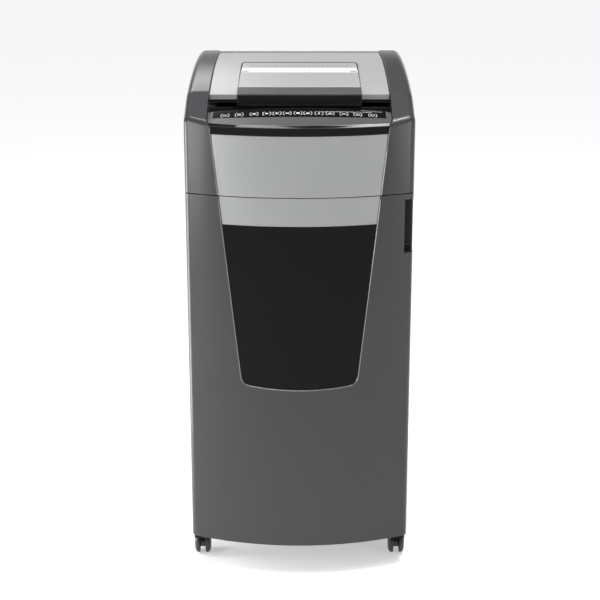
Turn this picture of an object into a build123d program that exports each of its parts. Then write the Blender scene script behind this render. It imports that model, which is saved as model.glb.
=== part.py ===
from build123d import *
import os
from math import acos, asin, atan2, cos, degrees, hypot, pi, radians, sin, sqrt, tan

# Office paper shredder with an automatic paper tray under a lid and a manual feed in front of it.
# Millimetres, +Z up, front towards -Y, origin on the floor below the middle of the body.

# Body
overall_width = 470.0
overall_depth = 600.0
overall_height = 1064.0
bow_radius = 530.0  # plan curve of the front
corner_radius = 18.0  # vertical corners
wall = 3.0  # moulded and folded walls
head_height = 229.0  # above the joint between cabinet and head
seam_gap = 2.0
ground_clearance = 68.0  # floor to the lower edge of door and panels
panel_gap = 1.0  # shut line beside the door
joint_gap = 0.5  # between fixed panels that butt
seat_gap = 0.3  # between a piece and the seat it is fixed to

# Crowned top
crown_radius = 1750.0
crown_apex_setback = 100.0  # highest line, in front of the back
crown_edge_radius = 16.0
knee_setback = 150.0  # the top turns down towards the front from here on
knee_slope = 20.7  # degrees, in front of the knee
knee_radius = 70.0
cheek_width = 47.0  # each side of the lid bay

# Tapered inset of the front
column_width = 70.0  # beside the inset, at the seam
inset_taper = 6.4  # degrees that each side line leans out
inset_recess = 2.5  # plates lie this far behind the columns
inset_plate = 2.0
inset_gap = 0.6
column_return = 34.0  # depth of the inner edge of each column

# Head front
fascia_height = 125.0  # silver plate, above the seam
strip_front = 20.0  # upright edge of the control panel
strip_edge_bevel = 4.0
strip_shoulder = 6.0  # height of the step where the inset widens to the lid bay
strip_slope = 14.0  # degrees
strip_depth = 95.0  # front to back at the middle
strip_lip = 30.0  # height of the downturned rear edge before it meets the slope
strip_lip_drop = 8.0  # lower edge of the lip, below the upright edge's top

# Manual feed throat
trough_depth = 55.0  # from the control panel to the lid
trough_fall = 34.0  # height of the sloping front guide
slot_width = 9.0
guide_thickness = 2.5
throat_top_gap = 12.0  # front guide below the control panel's rear edge at the middle
throat_rear_step = 3.0  # rear guide below the lid's grip
nip_setback = 15.0  # feed line in front of the lid edge

# Lid
lid_drop = 6.0  # below the cheeks
lid_side_gap = 1.5
lid_rear_setback = 10.0
lid_rear_gap = 3.0
lid_skirt = 10.0
lid_rear_radius = 4.0
lid_hinge_inset = 6.0  # axis in front of the lid's rear edge
lid_hinge_depth = 9.0  # axis below the lid's top
lid_ear_radius = 7.0
lid_ear_thickness = 12.0
lid_pin_radius = 3.0
cover_width = 255.0
cover_length = 130.0  # raised centre cover, behind the grip cap
strip_length = 102.0  # level strip behind the centre cover
cover_rise_rear = 1.5
cover_rise_middle = 3.0
cover_rise_front = 9.6
grip_width = 258.0
grip_reach = 18.0  # in front of the lid edge
grip_drop = 23.0  # below the lid edge
cap_depth = 36.0
cap_thickness = 3.0
pad_length = 250.0
pad_width = 180.0
pad_thickness = 6.0
pad_travel = 8.0
pad_clearance = 9.0  # below the lid's lower front edge
stud_radius = 4.0
stud_spacing = 180.0
boss_radius = 7.0
spring_width = 12.0
spring_thickness = 0.8
spring_span = 110.0
spring_spacing = 90.0

# Paper tray
tray_width = 222.0
tray_length = 306.0
tray_depth = 72.0
tray_setback = 25.0  # inner front wall behind the feed line
tray_rim_drop = 3.5  # rim below the lid's skirt
feed_slot = 8.0

# Door
hinge_radius = 8.0
hinge_setback = 23.0  # axis behind the front corner
door_skin = 6.0
trim_height = 58.0
window_bottom = 424.5
window_sag = 9.5
window_corner = 22.0
window_lip = 8.0
hinge_pin_radius = 3.5
hinge_pin_length = 16.0
hinge_notch_radius = 13.5
bracket_thickness = 8.0
bracket_length = 30.0
grip_pocket_top = 11.0  # below the door's top edge
grip_pocket_height = 114.0
grip_pocket_mouth = 19.0  # cut back from the door's right edge
grip_pocket_width = 40.0
grip_pocket_wall = 2.5
grip_ledge = 12.0

# Cabinet
flange_width = 14.0
rear_return = 40.0  # side panels round the back corners
base_step = 2.0  # base plate above the panels' lower edge
base_rim = 22.0
deck_thickness = 3.0
chute_depth = 34.0
chute_margin = 8.0
chute_wall = 2.5
hoop_bar_width = 6.0
hoop_bar_height = 10.0
hoop_drop = 45.0  # below the seam
hoop_margin = 28.0  # in from the cabinet sides
hoop_bend = 45.0
shelf_length = 26.0
shelf_thickness = 6.0
shelf_spacing = 260.0
catch_drop = 150.0
catch_height = 46.0
catch_depth = 16.0
catch_width = 14.0

# Castors
wheel_radius = 25.0
wheel_width = 11.6
wheel_shoulder = 6.0
castor_web = 11.0
wheel_side_gap = 0.7
axle_radius = 3.0
wheel_sides = 24  # flats round the tread
castor_trail = 18.0  # axle in front of the stem
stem_radius = 5.5
stem_engagement = 28.0
stem_inset_x = 19.0  # stem from the body's side
stem_inset_front = 131.0
stem_inset_rear = 70.0
fender_gap = 1.6
fender_thickness = 2.4
fender_start = 10.0  # degrees, from the stem's side over the top
fender_sweep = 130.0
running_clearance = 0.05  # shaft in its bore
press_clearance = 0.02  # fixed pin or bush in its hole

# Cutters and drive
disc_radius = 27.0
disc_overlap = 4.0
disc_thickness = 4.4
disc_pitch = 10.0
disc_count = 23
disc_teeth = 3
core_gap = 1.0
cutter_floor = 6.0  # discs above the deck
cutter_margin = 6.0  # end disc to the frame plate
plate_thickness = 5.0
plate_front = 45.0  # frame in front of the front cutter's axis
plate_rear = 55.0  # frame behind the rear cutter's axis
journal_radius = 8.0
bush_wall = 3.0
bush_proud = 2.0
tie_radius = 4.0
comb_gap = 1.5
comb_depth = 8.0
comb_height = 20.0
cutter_teeth = 20
pinion_teeth = 12
reduction_wheel_teeth = 36
motor_teeth = 12
reduction_module = 2.0
gear_width = 9.0
gear_side_gap = 1.0
backlash = 0.36
wheel_face = 7.0
stub_radius = 4.0
motor_radius = 36.0
bell_radius = 28.0
bell_sides = 16
motor_length = 150.0
motor_floor = 4.0
motor_shaft_radius = 5.0
feed_shaft_radius = 4.0
feed_roller_radius = 13.0
feed_roller_width = 44.0
roller_flutes = 20
roller_spacing = 110.0
feed_roller_rise = 1.5
feed_setback = 25.0  # feed shaft behind the tray's front wall
roller_window_gap = 2.0
pulley_radius = 12.0
pulley_sides = 20
pulley_width = 9.0
pulley_flange = 1.5
belt_thickness = 2.0

# Boards and mains inlet
board_thickness = 1.6
control_board_length = 240.0
power_board_length = 150.0
power_board_depth = 110.0
standoff = 8.0
inlet_x = 120.0
inlet_height = 36.0  # above the deck
inlet_width = 30.0
inlet_opening = 22.0
inlet_depth = 26.0
rocker_spacing = 44.0
rocker_width = 14.0
rocker_height = 22.0
rocker_throw = 16.0  # degrees from off to on
rocker_gap = 1.0

half_width = overall_width / 2
front_y = -overall_depth / 2
rear_y = overall_depth / 2
bow_centre_y = front_y + bow_radius
crown_apex_y = rear_y - crown_apex_setback
knee_y = front_y + knee_setback
seam_height = overall_height - head_height
cabinet_top = seam_height - seam_gap / 2
head_bottom = seam_height + seam_gap / 2
bay_half = half_width - cheek_width


def level(z):
    """Horizontal drawing plane at height z."""
    return Plane.XY.offset(z)


def front_plane(y):
    """Upright drawing plane facing the front, with extrusions running towards the front."""
    return Plane.XZ.offset(-y)


def side_plane(x):
    """Upright drawing plane across the body, with extrusions running towards +X."""
    return Plane.YZ.offset(x)


def bow_y(x, inset=0.0):
    """Front face at a distance x from the middle, drawn in by inset."""
    return bow_centre_y - sqrt((bow_radius - inset) ** 2 - x ** 2)


def crown_z(y, drop=0.0):
    """Height of the crowned top at y, lowered square to its curve by drop."""
    rise = sqrt((crown_radius - drop) ** 2 - (y - crown_apex_y) ** 2)
    return overall_height - crown_radius + rise


def inset_half(z):
    """Half width of the tapered front inset at height z."""
    return half_width - column_width + (z - seam_height) * tan(radians(inset_taper))


def body_outline(inset=0.0):
    """Plan of the body drawn in by inset: bowed front, straight sides and back, round corners."""
    side = half_width - inset
    back = rear_y - inset
    corner_y = bow_y(side, inset)
    with BuildSketch() as outline:
        with BuildLine():
            ThreePointArc((-side, corner_y), (0, front_y + inset), (side, corner_y))
            Polyline((side, corner_y), (side, back), (-side, back), (-side, corner_y))
        make_face()
        fillet(outline.vertices(), corner_radius - inset)
    return outline.sketch


def crown_band(y0, y1, drop, depth):
    """Side view of a layer below the crown, from y0 to y1, with its lower face depth further down."""
    middle = (y0 + y1) / 2
    with BuildSketch() as band:
        with BuildLine():
            ThreePointArc((y0, crown_z(y0, drop)), (middle, crown_z(middle, drop)), (y1, crown_z(y1, drop)))
            Line((y1, crown_z(y1, drop)), (y1, crown_z(y1, drop + depth)))
            ThreePointArc(
                (y1, crown_z(y1, drop + depth)),
                (middle, crown_z(middle, drop + depth)),
                (y0, crown_z(y0, drop + depth)),
            )
            Line((y0, crown_z(y0, drop + depth)), (y0, crown_z(y0, drop)))
        make_face()
    return band.sketch


def head_block(inset=0.0):
    """Envelope of the head drawn in by inset: its rim is rounded outside and bevelled inside."""
    reach = overall_depth / 2 + corner_radius
    with BuildPart() as block:
        with BuildSketch(level(head_bottom)):
            add(body_outline(inset))
        extrude(amount=overall_height - head_bottom)
        with BuildSketch(Plane.YZ) as profile:
            with BuildLine():
                middle = (knee_y + reach) / 2
                knee_z = crown_z(knee_y, inset)
                front_z = knee_z - (knee_y + reach) * tan(radians(knee_slope))
                ThreePointArc((knee_y, knee_z), (middle, crown_z(middle, inset)), (reach, crown_z(reach, inset)))
                Polyline(
                    (reach, crown_z(reach, inset)), (reach, head_bottom),
                    (-reach, head_bottom), (-reach, front_z), (knee_y, knee_z),
                )
            make_face()
            fillet(profile.vertices().sort_by_distance((knee_y, knee_z, 0))[0], knee_radius)
        extrude(amount=overall_width, both=True, mode=Mode.INTERSECT)
        top = block.faces().filter_by(lambda face: face.normal_at().Z > 0.5)
        rim = [
            edge for edge in top.edges()
            if edge.geom_type != GeomType.LINE or abs(edge.tangent_at(0).X) < 0.5 or edge.center().Y > crown_apex_y
        ]
        if inset:
            chamfer(rim, (crown_edge_radius - inset) * 0.6)
        else:
            fillet(rim, crown_edge_radius)
    return block.part


def inset_outline(bottom, top, gap, sag=0.0):
    """Front view of a plate in the tapered inset; sag hangs its lower edge in a round-cornered curve."""
    foot = bottom + sag
    low = inset_half(foot) - gap
    high = inset_half(top) - gap
    with BuildSketch() as outline:
        with BuildLine():
            Polyline((low, foot), (high, top), (-high, top), (-low, foot))
            if sag:
                ThreePointArc((-low, foot), (0, bottom), (low, foot))
            else:
                Line((-low, foot), (low, foot))
        make_face()
        if sag:
            fillet(outline.vertices().sort_by(Axis.Y)[:2], window_corner - gap)
    return outline.sketch


def bowed_plate(outline, outer, thickness):
    """Plate with the given front view that follows the bowed front, its face set back by outer."""
    back = bow_y(half_width) + corner_radius
    with BuildPart() as plate:
        with BuildSketch(front_plane(back)):
            add(outline)
        extrude(amount=back - front_y + corner_radius)
        with BuildSketch(Plane.XY):
            with Locations((0, bow_centre_y)):
                Circle(bow_radius - outer)
                Circle(bow_radius - outer - thickness, mode=Mode.SUBTRACT)
        extrude(amount=overall_height, mode=Mode.INTERSECT)
    return plate.part


def gear_outline(module, teeth, phase):
    """Spur gear with flanks chorded from the 20 degree involute; one tooth points along phase."""
    pressure = radians(20)
    pitch_radius = module * teeth / 2
    base = pitch_radius * cos(pressure)
    half_tooth = pi / (2 * teeth) - backlash / (4 * pitch_radius) + tan(pressure) - pressure
    points = []
    for tooth in range(teeth):
        middle = radians(phase) + 2 * pi * tooth / teeth
        flank = []
        for radius in (pitch_radius - 1.0 * module, pitch_radius + 0.7 * module):
            roll = acos(min(1.0, base / radius))
            flank.append((radius, half_tooth - tan(roll) + roll))
        sides = [(r, middle - a) for r, a in flank] + [(r, middle + a) for r, a in reversed(flank)]
        points += [(r * cos(a), r * sin(a)) for r, a in sides]
    with BuildSketch() as outline:
        with BuildLine():
            Polyline(*points, close=True)
        make_face()
    return outline.sketch


def mesh_phase(phase, teeth, direction, other_teeth):
    """Phase of a gear that meshes with another one lying in the given direction from it."""
    return direction + 180 + 180 / other_teeth - (phase - direction) * teeth / other_teeth


# Cabinet levels and the plan of the door's hinge side
door_top = cabinet_top
door_bottom = ground_clearance
hinge_x = -half_width + hinge_radius
hinge_y = bow_y(half_width) + hinge_setback
door_rear_y = hinge_y + hinge_radius
side_front_y = door_rear_y + panel_gap
deck_bottom = seam_height
deck_top = deck_bottom + deck_thickness
base_bottom = ground_clearance + base_step
fascia_top = seam_height + fascia_height
strip_top = fascia_top + inset_gap + strip_front
strip_rear_y = front_y + strip_depth
lid_front_y = strip_rear_y + trough_depth
lid_rear_y = rear_y - lid_rear_setback
lid_half = bay_half - lid_side_gap
lid_edge_z = crown_z(lid_front_y, lid_drop)
skirt_z = crown_z(lid_front_y, lid_drop + lid_skirt)
nip_y = lid_front_y - nip_setback
trim_bottom = door_top - trim_height

# Cutters, frame and gears
shaft_distance = 2 * disc_radius - disc_overlap
front_cutter_y = nip_y - shaft_distance / 2
rear_cutter_y = nip_y + shaft_distance / 2
cutter_z = deck_top + cutter_floor + disc_radius
core_radius = shaft_distance - disc_radius - core_gap
cutter_half = (disc_count - 1) * disc_pitch / 2 + disc_thickness / 2
plate_inner = cutter_half + cutter_margin
plate_outer = plate_inner + plate_thickness
cutter_module = shaft_distance / cutter_teeth
gear_start = plate_outer + bush_proud + gear_side_gap
gear_end = gear_start + gear_width
wheel_start = gear_end + 2 * gear_side_gap + gear_side_gap
wheel_end = wheel_start + wheel_face
tray_rim_z = skirt_z - tray_rim_drop
tray_floor_z = tray_rim_z - tray_depth
tray_front_y = nip_y + tray_setback
tray_rear_y = tray_front_y + tray_length
plate_top = tray_floor_z - wall
feed_y = tray_front_y + feed_setback
feed_z = tray_floor_z + feed_roller_rise - feed_roller_radius
compound_distance = cutter_module * (cutter_teeth + pinion_teeth) / 2
motor_distance = reduction_module * (reduction_wheel_teeth + motor_teeth) / 2
reduction_wheel_radius = reduction_module * reduction_wheel_teeth / 2
compound_z = max(cutter_z, deck_top + reduction_wheel_radius + 2 * reduction_module)
compound_angle = degrees(asin((compound_z - cutter_z) / compound_distance))
compound_y = rear_cutter_y + compound_distance * cos(radians(compound_angle))
motor_z = deck_top + motor_floor + motor_radius
motor_angle = degrees(asin((motor_z - compound_z) / motor_distance))
motor_y = compound_y + motor_distance * cos(radians(motor_angle))

outer_head = head_block()
inner_head = head_block(wall)

# Right cheek: the shell of the head beside the lid bay, with the front column that narrows downwards
column_rear_y = bow_y(inset_half(seam_height)) + column_return
shoulder_z = strip_top - strip_shoulder


def column_outline(inner):
    """Front view of the right column, its inner edge moved out by inner."""
    reach = half_width + corner_radius
    with BuildSketch() as outline:
        with BuildLine():
            Polyline(
                (inset_half(head_bottom) + inner, head_bottom),
                (inset_half(shoulder_z) + inner, shoulder_z),
                (bay_half + inner, shoulder_z + 2 * strip_shoulder),
                (bay_half + inner, overall_height),
                (reach, overall_height),
                (reach, head_bottom),
                close=True,
            )
        make_face()
    return outline.sketch


column_run = column_rear_y - front_y + corner_radius
with BuildPart() as cheek_zone:
    with BuildSketch(side_plane(bay_half)):
        with Locations((0, overall_height / 2)):
            Rectangle(2 * overall_depth, overall_height)
    extrude(amount=overall_width)
    with BuildSketch(front_plane(column_rear_y)):
        add(column_outline(0))
    extrude(amount=column_run)

inner_wall_z = shoulder_z - 3 * strip_shoulder
with BuildPart() as cheek_inner_wall:
    with BuildSketch(side_plane(bay_half)):
        with Locations((column_rear_y, inner_wall_z)):
            Rectangle(2 * overall_depth, overall_height, align=(Align.MIN, Align.MIN))
    extrude(amount=wall)
    with BuildSketch(front_plane(column_rear_y)):
        add(column_outline(0))
        add(column_outline(wall), mode=Mode.SUBTRACT)
    extrude(amount=column_run)
    with BuildSketch(level(deck_top)):
        Rectangle(2 * overall_width, 2 * overall_depth)
    extrude(amount=head_bottom - deck_top - wall, mode=Mode.SUBTRACT)
    add(outer_head, mode=Mode.INTERSECT)

lid_hinge_y = lid_rear_y - lid_hinge_inset
lid_hinge_z = crown_z(lid_rear_y, lid_drop) - lid_hinge_depth

with BuildPart() as right_cheek:
    add(outer_head)
    add(inner_head, mode=Mode.SUBTRACT)
    add(cheek_zone.part, mode=Mode.INTERSECT)
    add(cheek_inner_wall.part)
    with BuildSketch(side_plane(bay_half)):
        with Locations((lid_hinge_y, lid_hinge_z)):
            Circle(lid_pin_radius + press_clearance)
    extrude(amount=wall, mode=Mode.SUBTRACT)

with BuildPart() as left_cheek:
    add(mirror(right_cheek.part, about=Plane.YZ))

# Silver front plate of the head
with BuildPart() as front_fascia:
    add(bowed_plate(inset_outline(head_bottom, fascia_top, inset_gap), inset_recess, inset_plate))

# Control panel: a section turned along the bow, with a straight rear edge and a downturned lip
strip_radius = bow_radius - inset_recess
slope_rise = tan(radians(strip_slope))
strip_run = strip_depth + corner_radius
strip_bottom = fascia_top + inset_gap
lip_bottom = strip_top - strip_lip_drop
with BuildPart() as control_panel:
    with BuildSketch(Plane(origin=(0, bow_centre_y, 0), x_dir=(0, -1, 0), z_dir=(-1, 0, 0))) as section:
        with BuildLine():
            Polyline(
                (strip_radius, strip_bottom),
                (strip_radius, strip_top),
                (strip_radius - strip_run, strip_top + strip_run * slope_rise),
                (strip_radius - strip_run, strip_top + strip_run * slope_rise - wall),
                (strip_radius - wall, strip_top - wall),
                (strip_radius - wall, strip_bottom),
                close=True,
            )
        make_face()
        chamfer(section.vertices().group_by(Axis.X)[-1].sort_by(Axis.Y)[-1], strip_edge_bevel)
    revolve(axis=Axis((0, bow_centre_y, 0), (0, 0, 1)), revolution_arc=360)
    with BuildSketch(front_plane(strip_rear_y)):
        with BuildLine():
            edge = [
                (inset_half(strip_bottom) - inset_gap, strip_bottom),
                (inset_half(shoulder_z) - inset_gap, shoulder_z),
                (bay_half - inset_gap, shoulder_z + 2 * strip_shoulder),
                (bay_half - inset_gap, overall_height),
            ]
            Polyline(*edge, *[(-x, z) for x, z in reversed(edge)], close=True)
        make_face()
    extrude(amount=strip_depth + corner_radius, mode=Mode.INTERSECT)
    with BuildSketch(front_plane(strip_rear_y)):
        with Locations((0, lip_bottom)):
            Rectangle(2 * (bay_half - inset_gap), strip_lip, align=(Align.CENTER, Align.MIN))
    extrude(amount=wall)
    with BuildSketch(Plane(origin=(0, bow_centre_y, 0), x_dir=(0, -1, 0), z_dir=(-1, 0, 0))):
        with BuildLine():
            Polyline(
                (0, strip_top + strip_radius * slope_rise),
                (strip_radius, strip_top),
                (strip_radius, overall_height * 2),
                (0, overall_height * 2),
                close=True,
            )
        make_face()
    revolve(axis=Axis((0, bow_centre_y, 0), (0, 0, 1)), revolution_arc=360, mode=Mode.SUBTRACT)

# Manual feed throat: a sloping front guide and an upright rear guide that meet at the slot
slot_front_y = nip_y - slot_width / 2
slot_rear_y = nip_y + slot_width / 2
guide_half = bay_half - joint_gap
guide_top = strip_top + (strip_depth - inset_recess) * slope_rise - throat_top_gap
guide_knee = guide_top - trough_fall
guide_foot = cutter_z + disc_radius + 3 * guide_thickness
guide_front_y = strip_rear_y + seat_gap
guide_back_y = lid_front_y - guide_thickness
slope = hypot(slot_front_y - guide_front_y, trough_fall) / (slot_front_y - guide_front_y)
with BuildPart() as throat_front_guide:
    with BuildSketch(side_plane(0)):
        with BuildLine():
            Polyline(
                (guide_front_y, guide_top),
                (slot_front_y, guide_knee),
                (slot_front_y, guide_foot),
                (slot_front_y - guide_thickness, guide_foot),
                (slot_front_y - guide_thickness, guide_knee - guide_thickness),
                (guide_front_y, guide_top - guide_thickness * slope),
                close=True,
            )
        make_face()
    extrude(amount=guide_half, both=True)
    with BuildSketch(level(guide_knee - guide_thickness)):
        with Locations((plate_inner, slot_front_y), (-guide_half, slot_front_y)):
            Rectangle(guide_half - plate_inner, slot_width - seat_gap, align=(Align.MIN, Align.MIN))
    extrude(amount=guide_thickness)
    with BuildSketch(level(guide_foot)):
        with Locations((plate_inner - joint_gap, nip_y), (-guide_half, nip_y)):
            Rectangle(guide_half - plate_inner + joint_gap, trough_depth, align=(Align.MIN, Align.CENTER))
    extrude(amount=plate_top + joint_gap - guide_foot, mode=Mode.SUBTRACT)
    edges_up = throat_front_guide.edges().filter_by(Axis.X)
    fillet(edges_up.group_by(Axis.Z)[-1].sort_by(Axis.Y)[0], guide_thickness / 3)

rear_guide_top = lid_edge_z - grip_drop - throat_rear_step
with BuildPart() as throat_rear_guide:
    with BuildSketch(side_plane(0)):
        with BuildLine():
            Polyline(
                (guide_back_y, rear_guide_top),
                (guide_back_y, guide_knee + trough_fall / 2),
                (slot_rear_y, guide_knee),
                (slot_rear_y, tray_floor_z + wall),
                (slot_rear_y + guide_thickness, tray_floor_z + wall),
                (slot_rear_y + guide_thickness, guide_knee),
                (guide_back_y + guide_thickness, guide_knee + trough_fall / 2),
                (guide_back_y + guide_thickness, rear_guide_top),
                close=True,
            )
        make_face()
    extrude(amount=guide_half, both=True)

# Paper tray: a tub for a sheet stack below a rim that fills the lid bay
rim_front_y = lid_front_y + seat_gap
rim_rear_y = rear_y - wall - joint_gap
tray_middle_y = (tray_front_y + tray_rear_y) / 2
roller_places = [(-roller_spacing / 2, feed_y), (roller_spacing / 2, feed_y)]
with BuildPart() as paper_tray:
    with BuildSketch(level(tray_rim_z - wall)):
        with Locations((0, (rim_front_y + rim_rear_y) / 2)):
            Rectangle(2 * guide_half, rim_rear_y - rim_front_y)
    extrude(amount=wall)
    with BuildSketch(level(tray_floor_z - wall)):
        with Locations((0, tray_middle_y)):
            Rectangle(tray_width + 2 * wall, tray_length + 2 * wall)
    extrude(amount=tray_depth)
    with BuildSketch(level(tray_floor_z)) as tub:
        with Locations((0, tray_middle_y)):
            Rectangle(tray_width, tray_length)
        fillet(tub.vertices(), 2 * wall)
    extrude(amount=tray_depth, mode=Mode.SUBTRACT)
    with BuildSketch(level(tray_floor_z - wall)):
        with Locations(*roller_places):
            Rectangle(feed_roller_width + 2 * roller_window_gap, 2 * feed_roller_radius + feed_slot / 2)
        with Locations((0, tray_front_y + 2 * wall)):
            Rectangle(tray_width - 4 * wall, feed_slot, align=(Align.CENTER, Align.MIN))
    extrude(amount=wall, mode=Mode.SUBTRACT)

# Rear cover of the head, with a row of vent slots and the openings for inlet and switch
inlet_z = deck_top + inlet_height
rocker_x = inlet_x - rocker_spacing
vent_z = inlet_z + inlet_width
with BuildPart() as rear_zone:
    with BuildSketch(front_plane(rear_y + corner_radius)):
        with Locations((0, head_bottom)):
            Rectangle(2 * guide_half, overall_height, align=(Align.CENTER, Align.MIN))
    extrude(amount=rear_y + corner_radius - lid_rear_y - lid_rear_gap)

with BuildPart() as rear_cover:
    add(outer_head)
    add(inner_head, mode=Mode.SUBTRACT)
    add(rear_zone.part, mode=Mode.INTERSECT)
    with BuildSketch(front_plane(rear_y)):
        with Locations((inlet_x, inlet_z)):
            Rectangle(inlet_width, inlet_opening)
        with Locations((rocker_x, inlet_z)):
            Rectangle(rocker_width + 2 * rocker_gap, rocker_height + 2 * rocker_gap)
        with Locations((-inlet_x / 2, vent_z)):
            with GridLocations(0, 3 * wall, 1, 6):
                Rectangle(inlet_x, wall + 1)
    extrude(amount=wall, mode=Mode.SUBTRACT)

# Mains inlet and switch in one moulding behind the rear cover
module_front = rear_y - wall
pocket_depth = inlet_depth - wall
rocker_pivot_y = module_front - wall
with BuildPart() as power_inlet:
    with BuildSketch(front_plane(module_front)):
        with Locations(((inlet_x + rocker_x) / 2, inlet_z)):
            Rectangle(rocker_spacing + inlet_width + 4 * wall, rocker_height + 4 * wall)
    extrude(amount=wall)
    with BuildSketch(front_plane(module_front - wall)):
        with Locations(((inlet_x + rocker_x) / 2, inlet_z)):
            Rectangle(rocker_spacing + inlet_width, rocker_height + 2 * wall)
    extrude(amount=inlet_depth - wall)
    with BuildSketch(front_plane(module_front)):
        with Locations((inlet_x, inlet_z)):
            Rectangle(inlet_width - 2 * wall, inlet_opening - 2 * wall)
        with Locations((rocker_x, inlet_z)):
            Rectangle(rocker_width + 2 * rocker_gap, rocker_height + 2 * rocker_gap)
    extrude(amount=pocket_depth, mode=Mode.SUBTRACT)
    with BuildSketch(front_plane(module_front - pocket_depth / 3)):
        with Locations((inlet_x, inlet_z + 2), (inlet_x - 7, inlet_z - 2), (inlet_x + 7, inlet_z - 2)):
            Rectangle(2, 4)
    extrude(amount=pocket_depth * 2 / 3)
    with BuildSketch(side_plane(rocker_x - rocker_width / 2 - rocker_gap)):
        with Locations((rocker_pivot_y, inlet_z)):
            Circle(wall / 2)
    extrude(amount=rocker_width + 2 * rocker_gap)

rocker_lift = tan(radians(rocker_throw / 2)) * rocker_height / 2
with BuildPart() as power_rocker:
    with BuildSketch(side_plane(rocker_x - rocker_width / 2)):
        with BuildLine():
            Polyline(
                (rocker_pivot_y + wall - 0.5, inlet_z),
                (rocker_pivot_y + wall - 0.5 + rocker_lift, inlet_z + rocker_height / 2),
                (rocker_pivot_y - wall, inlet_z + rocker_height / 2 - wall / 2),
                (rocker_pivot_y - 2 * wall, inlet_z),
                (rocker_pivot_y - wall, inlet_z - rocker_height / 2 + wall / 2),
                (rocker_pivot_y + wall - 0.5 + rocker_lift, inlet_z - rocker_height / 2),
                close=True,
            )
        make_face()
        with Locations((rocker_pivot_y, inlet_z)):
            Circle(wall / 2 + running_clearance, mode=Mode.SUBTRACT)
    extrude(amount=rocker_width)
rocker_axis = Axis((rocker_x, rocker_pivot_y, inlet_z), (1, 0, 0))
power_rocker.part = power_rocker.part.rotate(rocker_axis, -rocker_throw / 2)

# Lid: a crowned shell with a skirt, hinge ears at the back and guide bosses for the pad
pad_z = skirt_z - pad_clearance - pad_thickness
pad_middle_y = (tray_front_y + tray_rear_y) / 2
stud_places = [(0, pad_middle_y - stud_spacing / 2), (0, pad_middle_y + stud_spacing / 2)]
boss_foot = pad_z + pad_thickness + pad_travel + 2 * seat_gap
ear_x = lid_half - lid_ear_thickness - 2 * wall
with BuildPart() as lid_shell:
    with BuildSketch(side_plane(0)):
        add(crown_band(lid_front_y, lid_rear_y, lid_drop, lid_skirt))
    extrude(amount=lid_half, both=True)
    rear_edges = lid_shell.edges().filter_by(Axis.X).group_by(Axis.Y)[-1]
    fillet(rear_edges.sort_by(Axis.Z)[-1], lid_rear_radius)
    with BuildSketch(side_plane(0)):
        add(crown_band(lid_front_y + wall, lid_rear_y - wall, lid_drop + wall, lid_skirt))
    extrude(amount=lid_half - wall, both=True, mode=Mode.SUBTRACT)
    with BuildSketch(level(boss_foot)):
        with Locations(*stud_places):
            Rectangle(2 * boss_radius, 2 * boss_radius)
    extrude(amount=crown_z(crown_apex_y, lid_drop + wall / 2) - boss_foot)
    for x in (ear_x, -ear_x - lid_ear_thickness):
        with BuildSketch(side_plane(x)):
            with Locations((lid_hinge_y, lid_hinge_z)):
                Circle(lid_ear_radius)
                Rectangle(2 * lid_ear_radius, lid_hinge_depth - wall / 2, align=(Align.CENTER, Align.MIN))
        extrude(amount=lid_ear_thickness)
    with BuildSketch(side_plane(0)):
        with BuildLine():
            top_run = [lid_front_y - wall, (lid_front_y + lid_rear_y) / 2, lid_rear_y + 2 * lid_rear_setback]
            ThreePointArc(*[(y, crown_z(y, lid_drop)) for y in top_run])
            Polyline(
                (top_run[2], crown_z(top_run[2], lid_drop)),
                (top_run[2], 2 * overall_height),
                (top_run[0], 2 * overall_height),
                (top_run[0], crown_z(top_run[0], lid_drop)),
            )
        make_face()
    extrude(amount=lid_half, both=True, mode=Mode.SUBTRACT)
    with BuildSketch(level(boss_foot)):
        with Locations(*stud_places):
            Rectangle(*[2 * (stud_radius + running_clearance)] * 2)
    extrude(amount=2 * pad_travel + wall, mode=Mode.SUBTRACT)
    with BuildSketch(side_plane(0)):
        with Locations((lid_hinge_y, lid_hinge_z)):
            Circle(lid_pin_radius + running_clearance)
    extrude(amount=lid_half, both=True, mode=Mode.SUBTRACT)

pin_start = ear_x - wall
with BuildPart() as lid_hinge_pins:
    for x in (pin_start, -bay_half - wall):
        with BuildSketch(side_plane(x)):
            with Locations((lid_hinge_y, lid_hinge_z)):
                Circle(lid_pin_radius)
        extrude(amount=bay_half + wall - pin_start)

# Raised centre cover of the lid: level strip at the back, cover in the middle, cap and grip in front
cover_front_y = lid_front_y - grip_reach + cap_depth
cover_rear_y = cover_front_y + cover_length
strip_end_y = cover_rear_y + strip_length


def cover_rise(y):
    """Height of the centre cover above the lid: least at the back, growing to the front."""
    share = (strip_end_y - y) / (strip_end_y - cover_front_y)
    bend = cover_rise_rear + cover_rise_front - 2 * cover_rise_middle
    slope_in = 4 * cover_rise_middle - 3 * cover_rise_rear - cover_rise_front
    return cover_rise_rear + slope_in * share + 2 * bend * share ** 2


def cover_piece(y0, y1, width):
    """Piece of the raised cover from y0 to y1, lying on the lid."""
    middle = (y0 + y1) / 2
    with BuildPart() as piece:
        with BuildSketch(side_plane(0)):
            with BuildLine():
                top = [(y, crown_z(y, lid_drop) + cover_rise(y)) for y in (y0, middle, y1)]
                foot = [(y, crown_z(y, lid_drop)) for y in (y1, middle, y0)]
                ThreePointArc(*top)
                Line(top[2], foot[0])
                ThreePointArc(*foot)
                Line(foot[2], top[0])
            make_face()
        extrude(amount=width / 2, both=True)
    return piece.part


with BuildPart() as lid_centre_cover:
    add(cover_piece(cover_front_y, cover_rear_y - joint_gap, cover_width))

with BuildPart() as lid_level_strip:
    add(cover_piece(cover_rear_y, strip_end_y, cover_width))
    corners = lid_level_strip.edges().filter_by(Axis.Z).group_by(Axis.Y)[-1]
    fillet(corners, 4 * wall)

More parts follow.
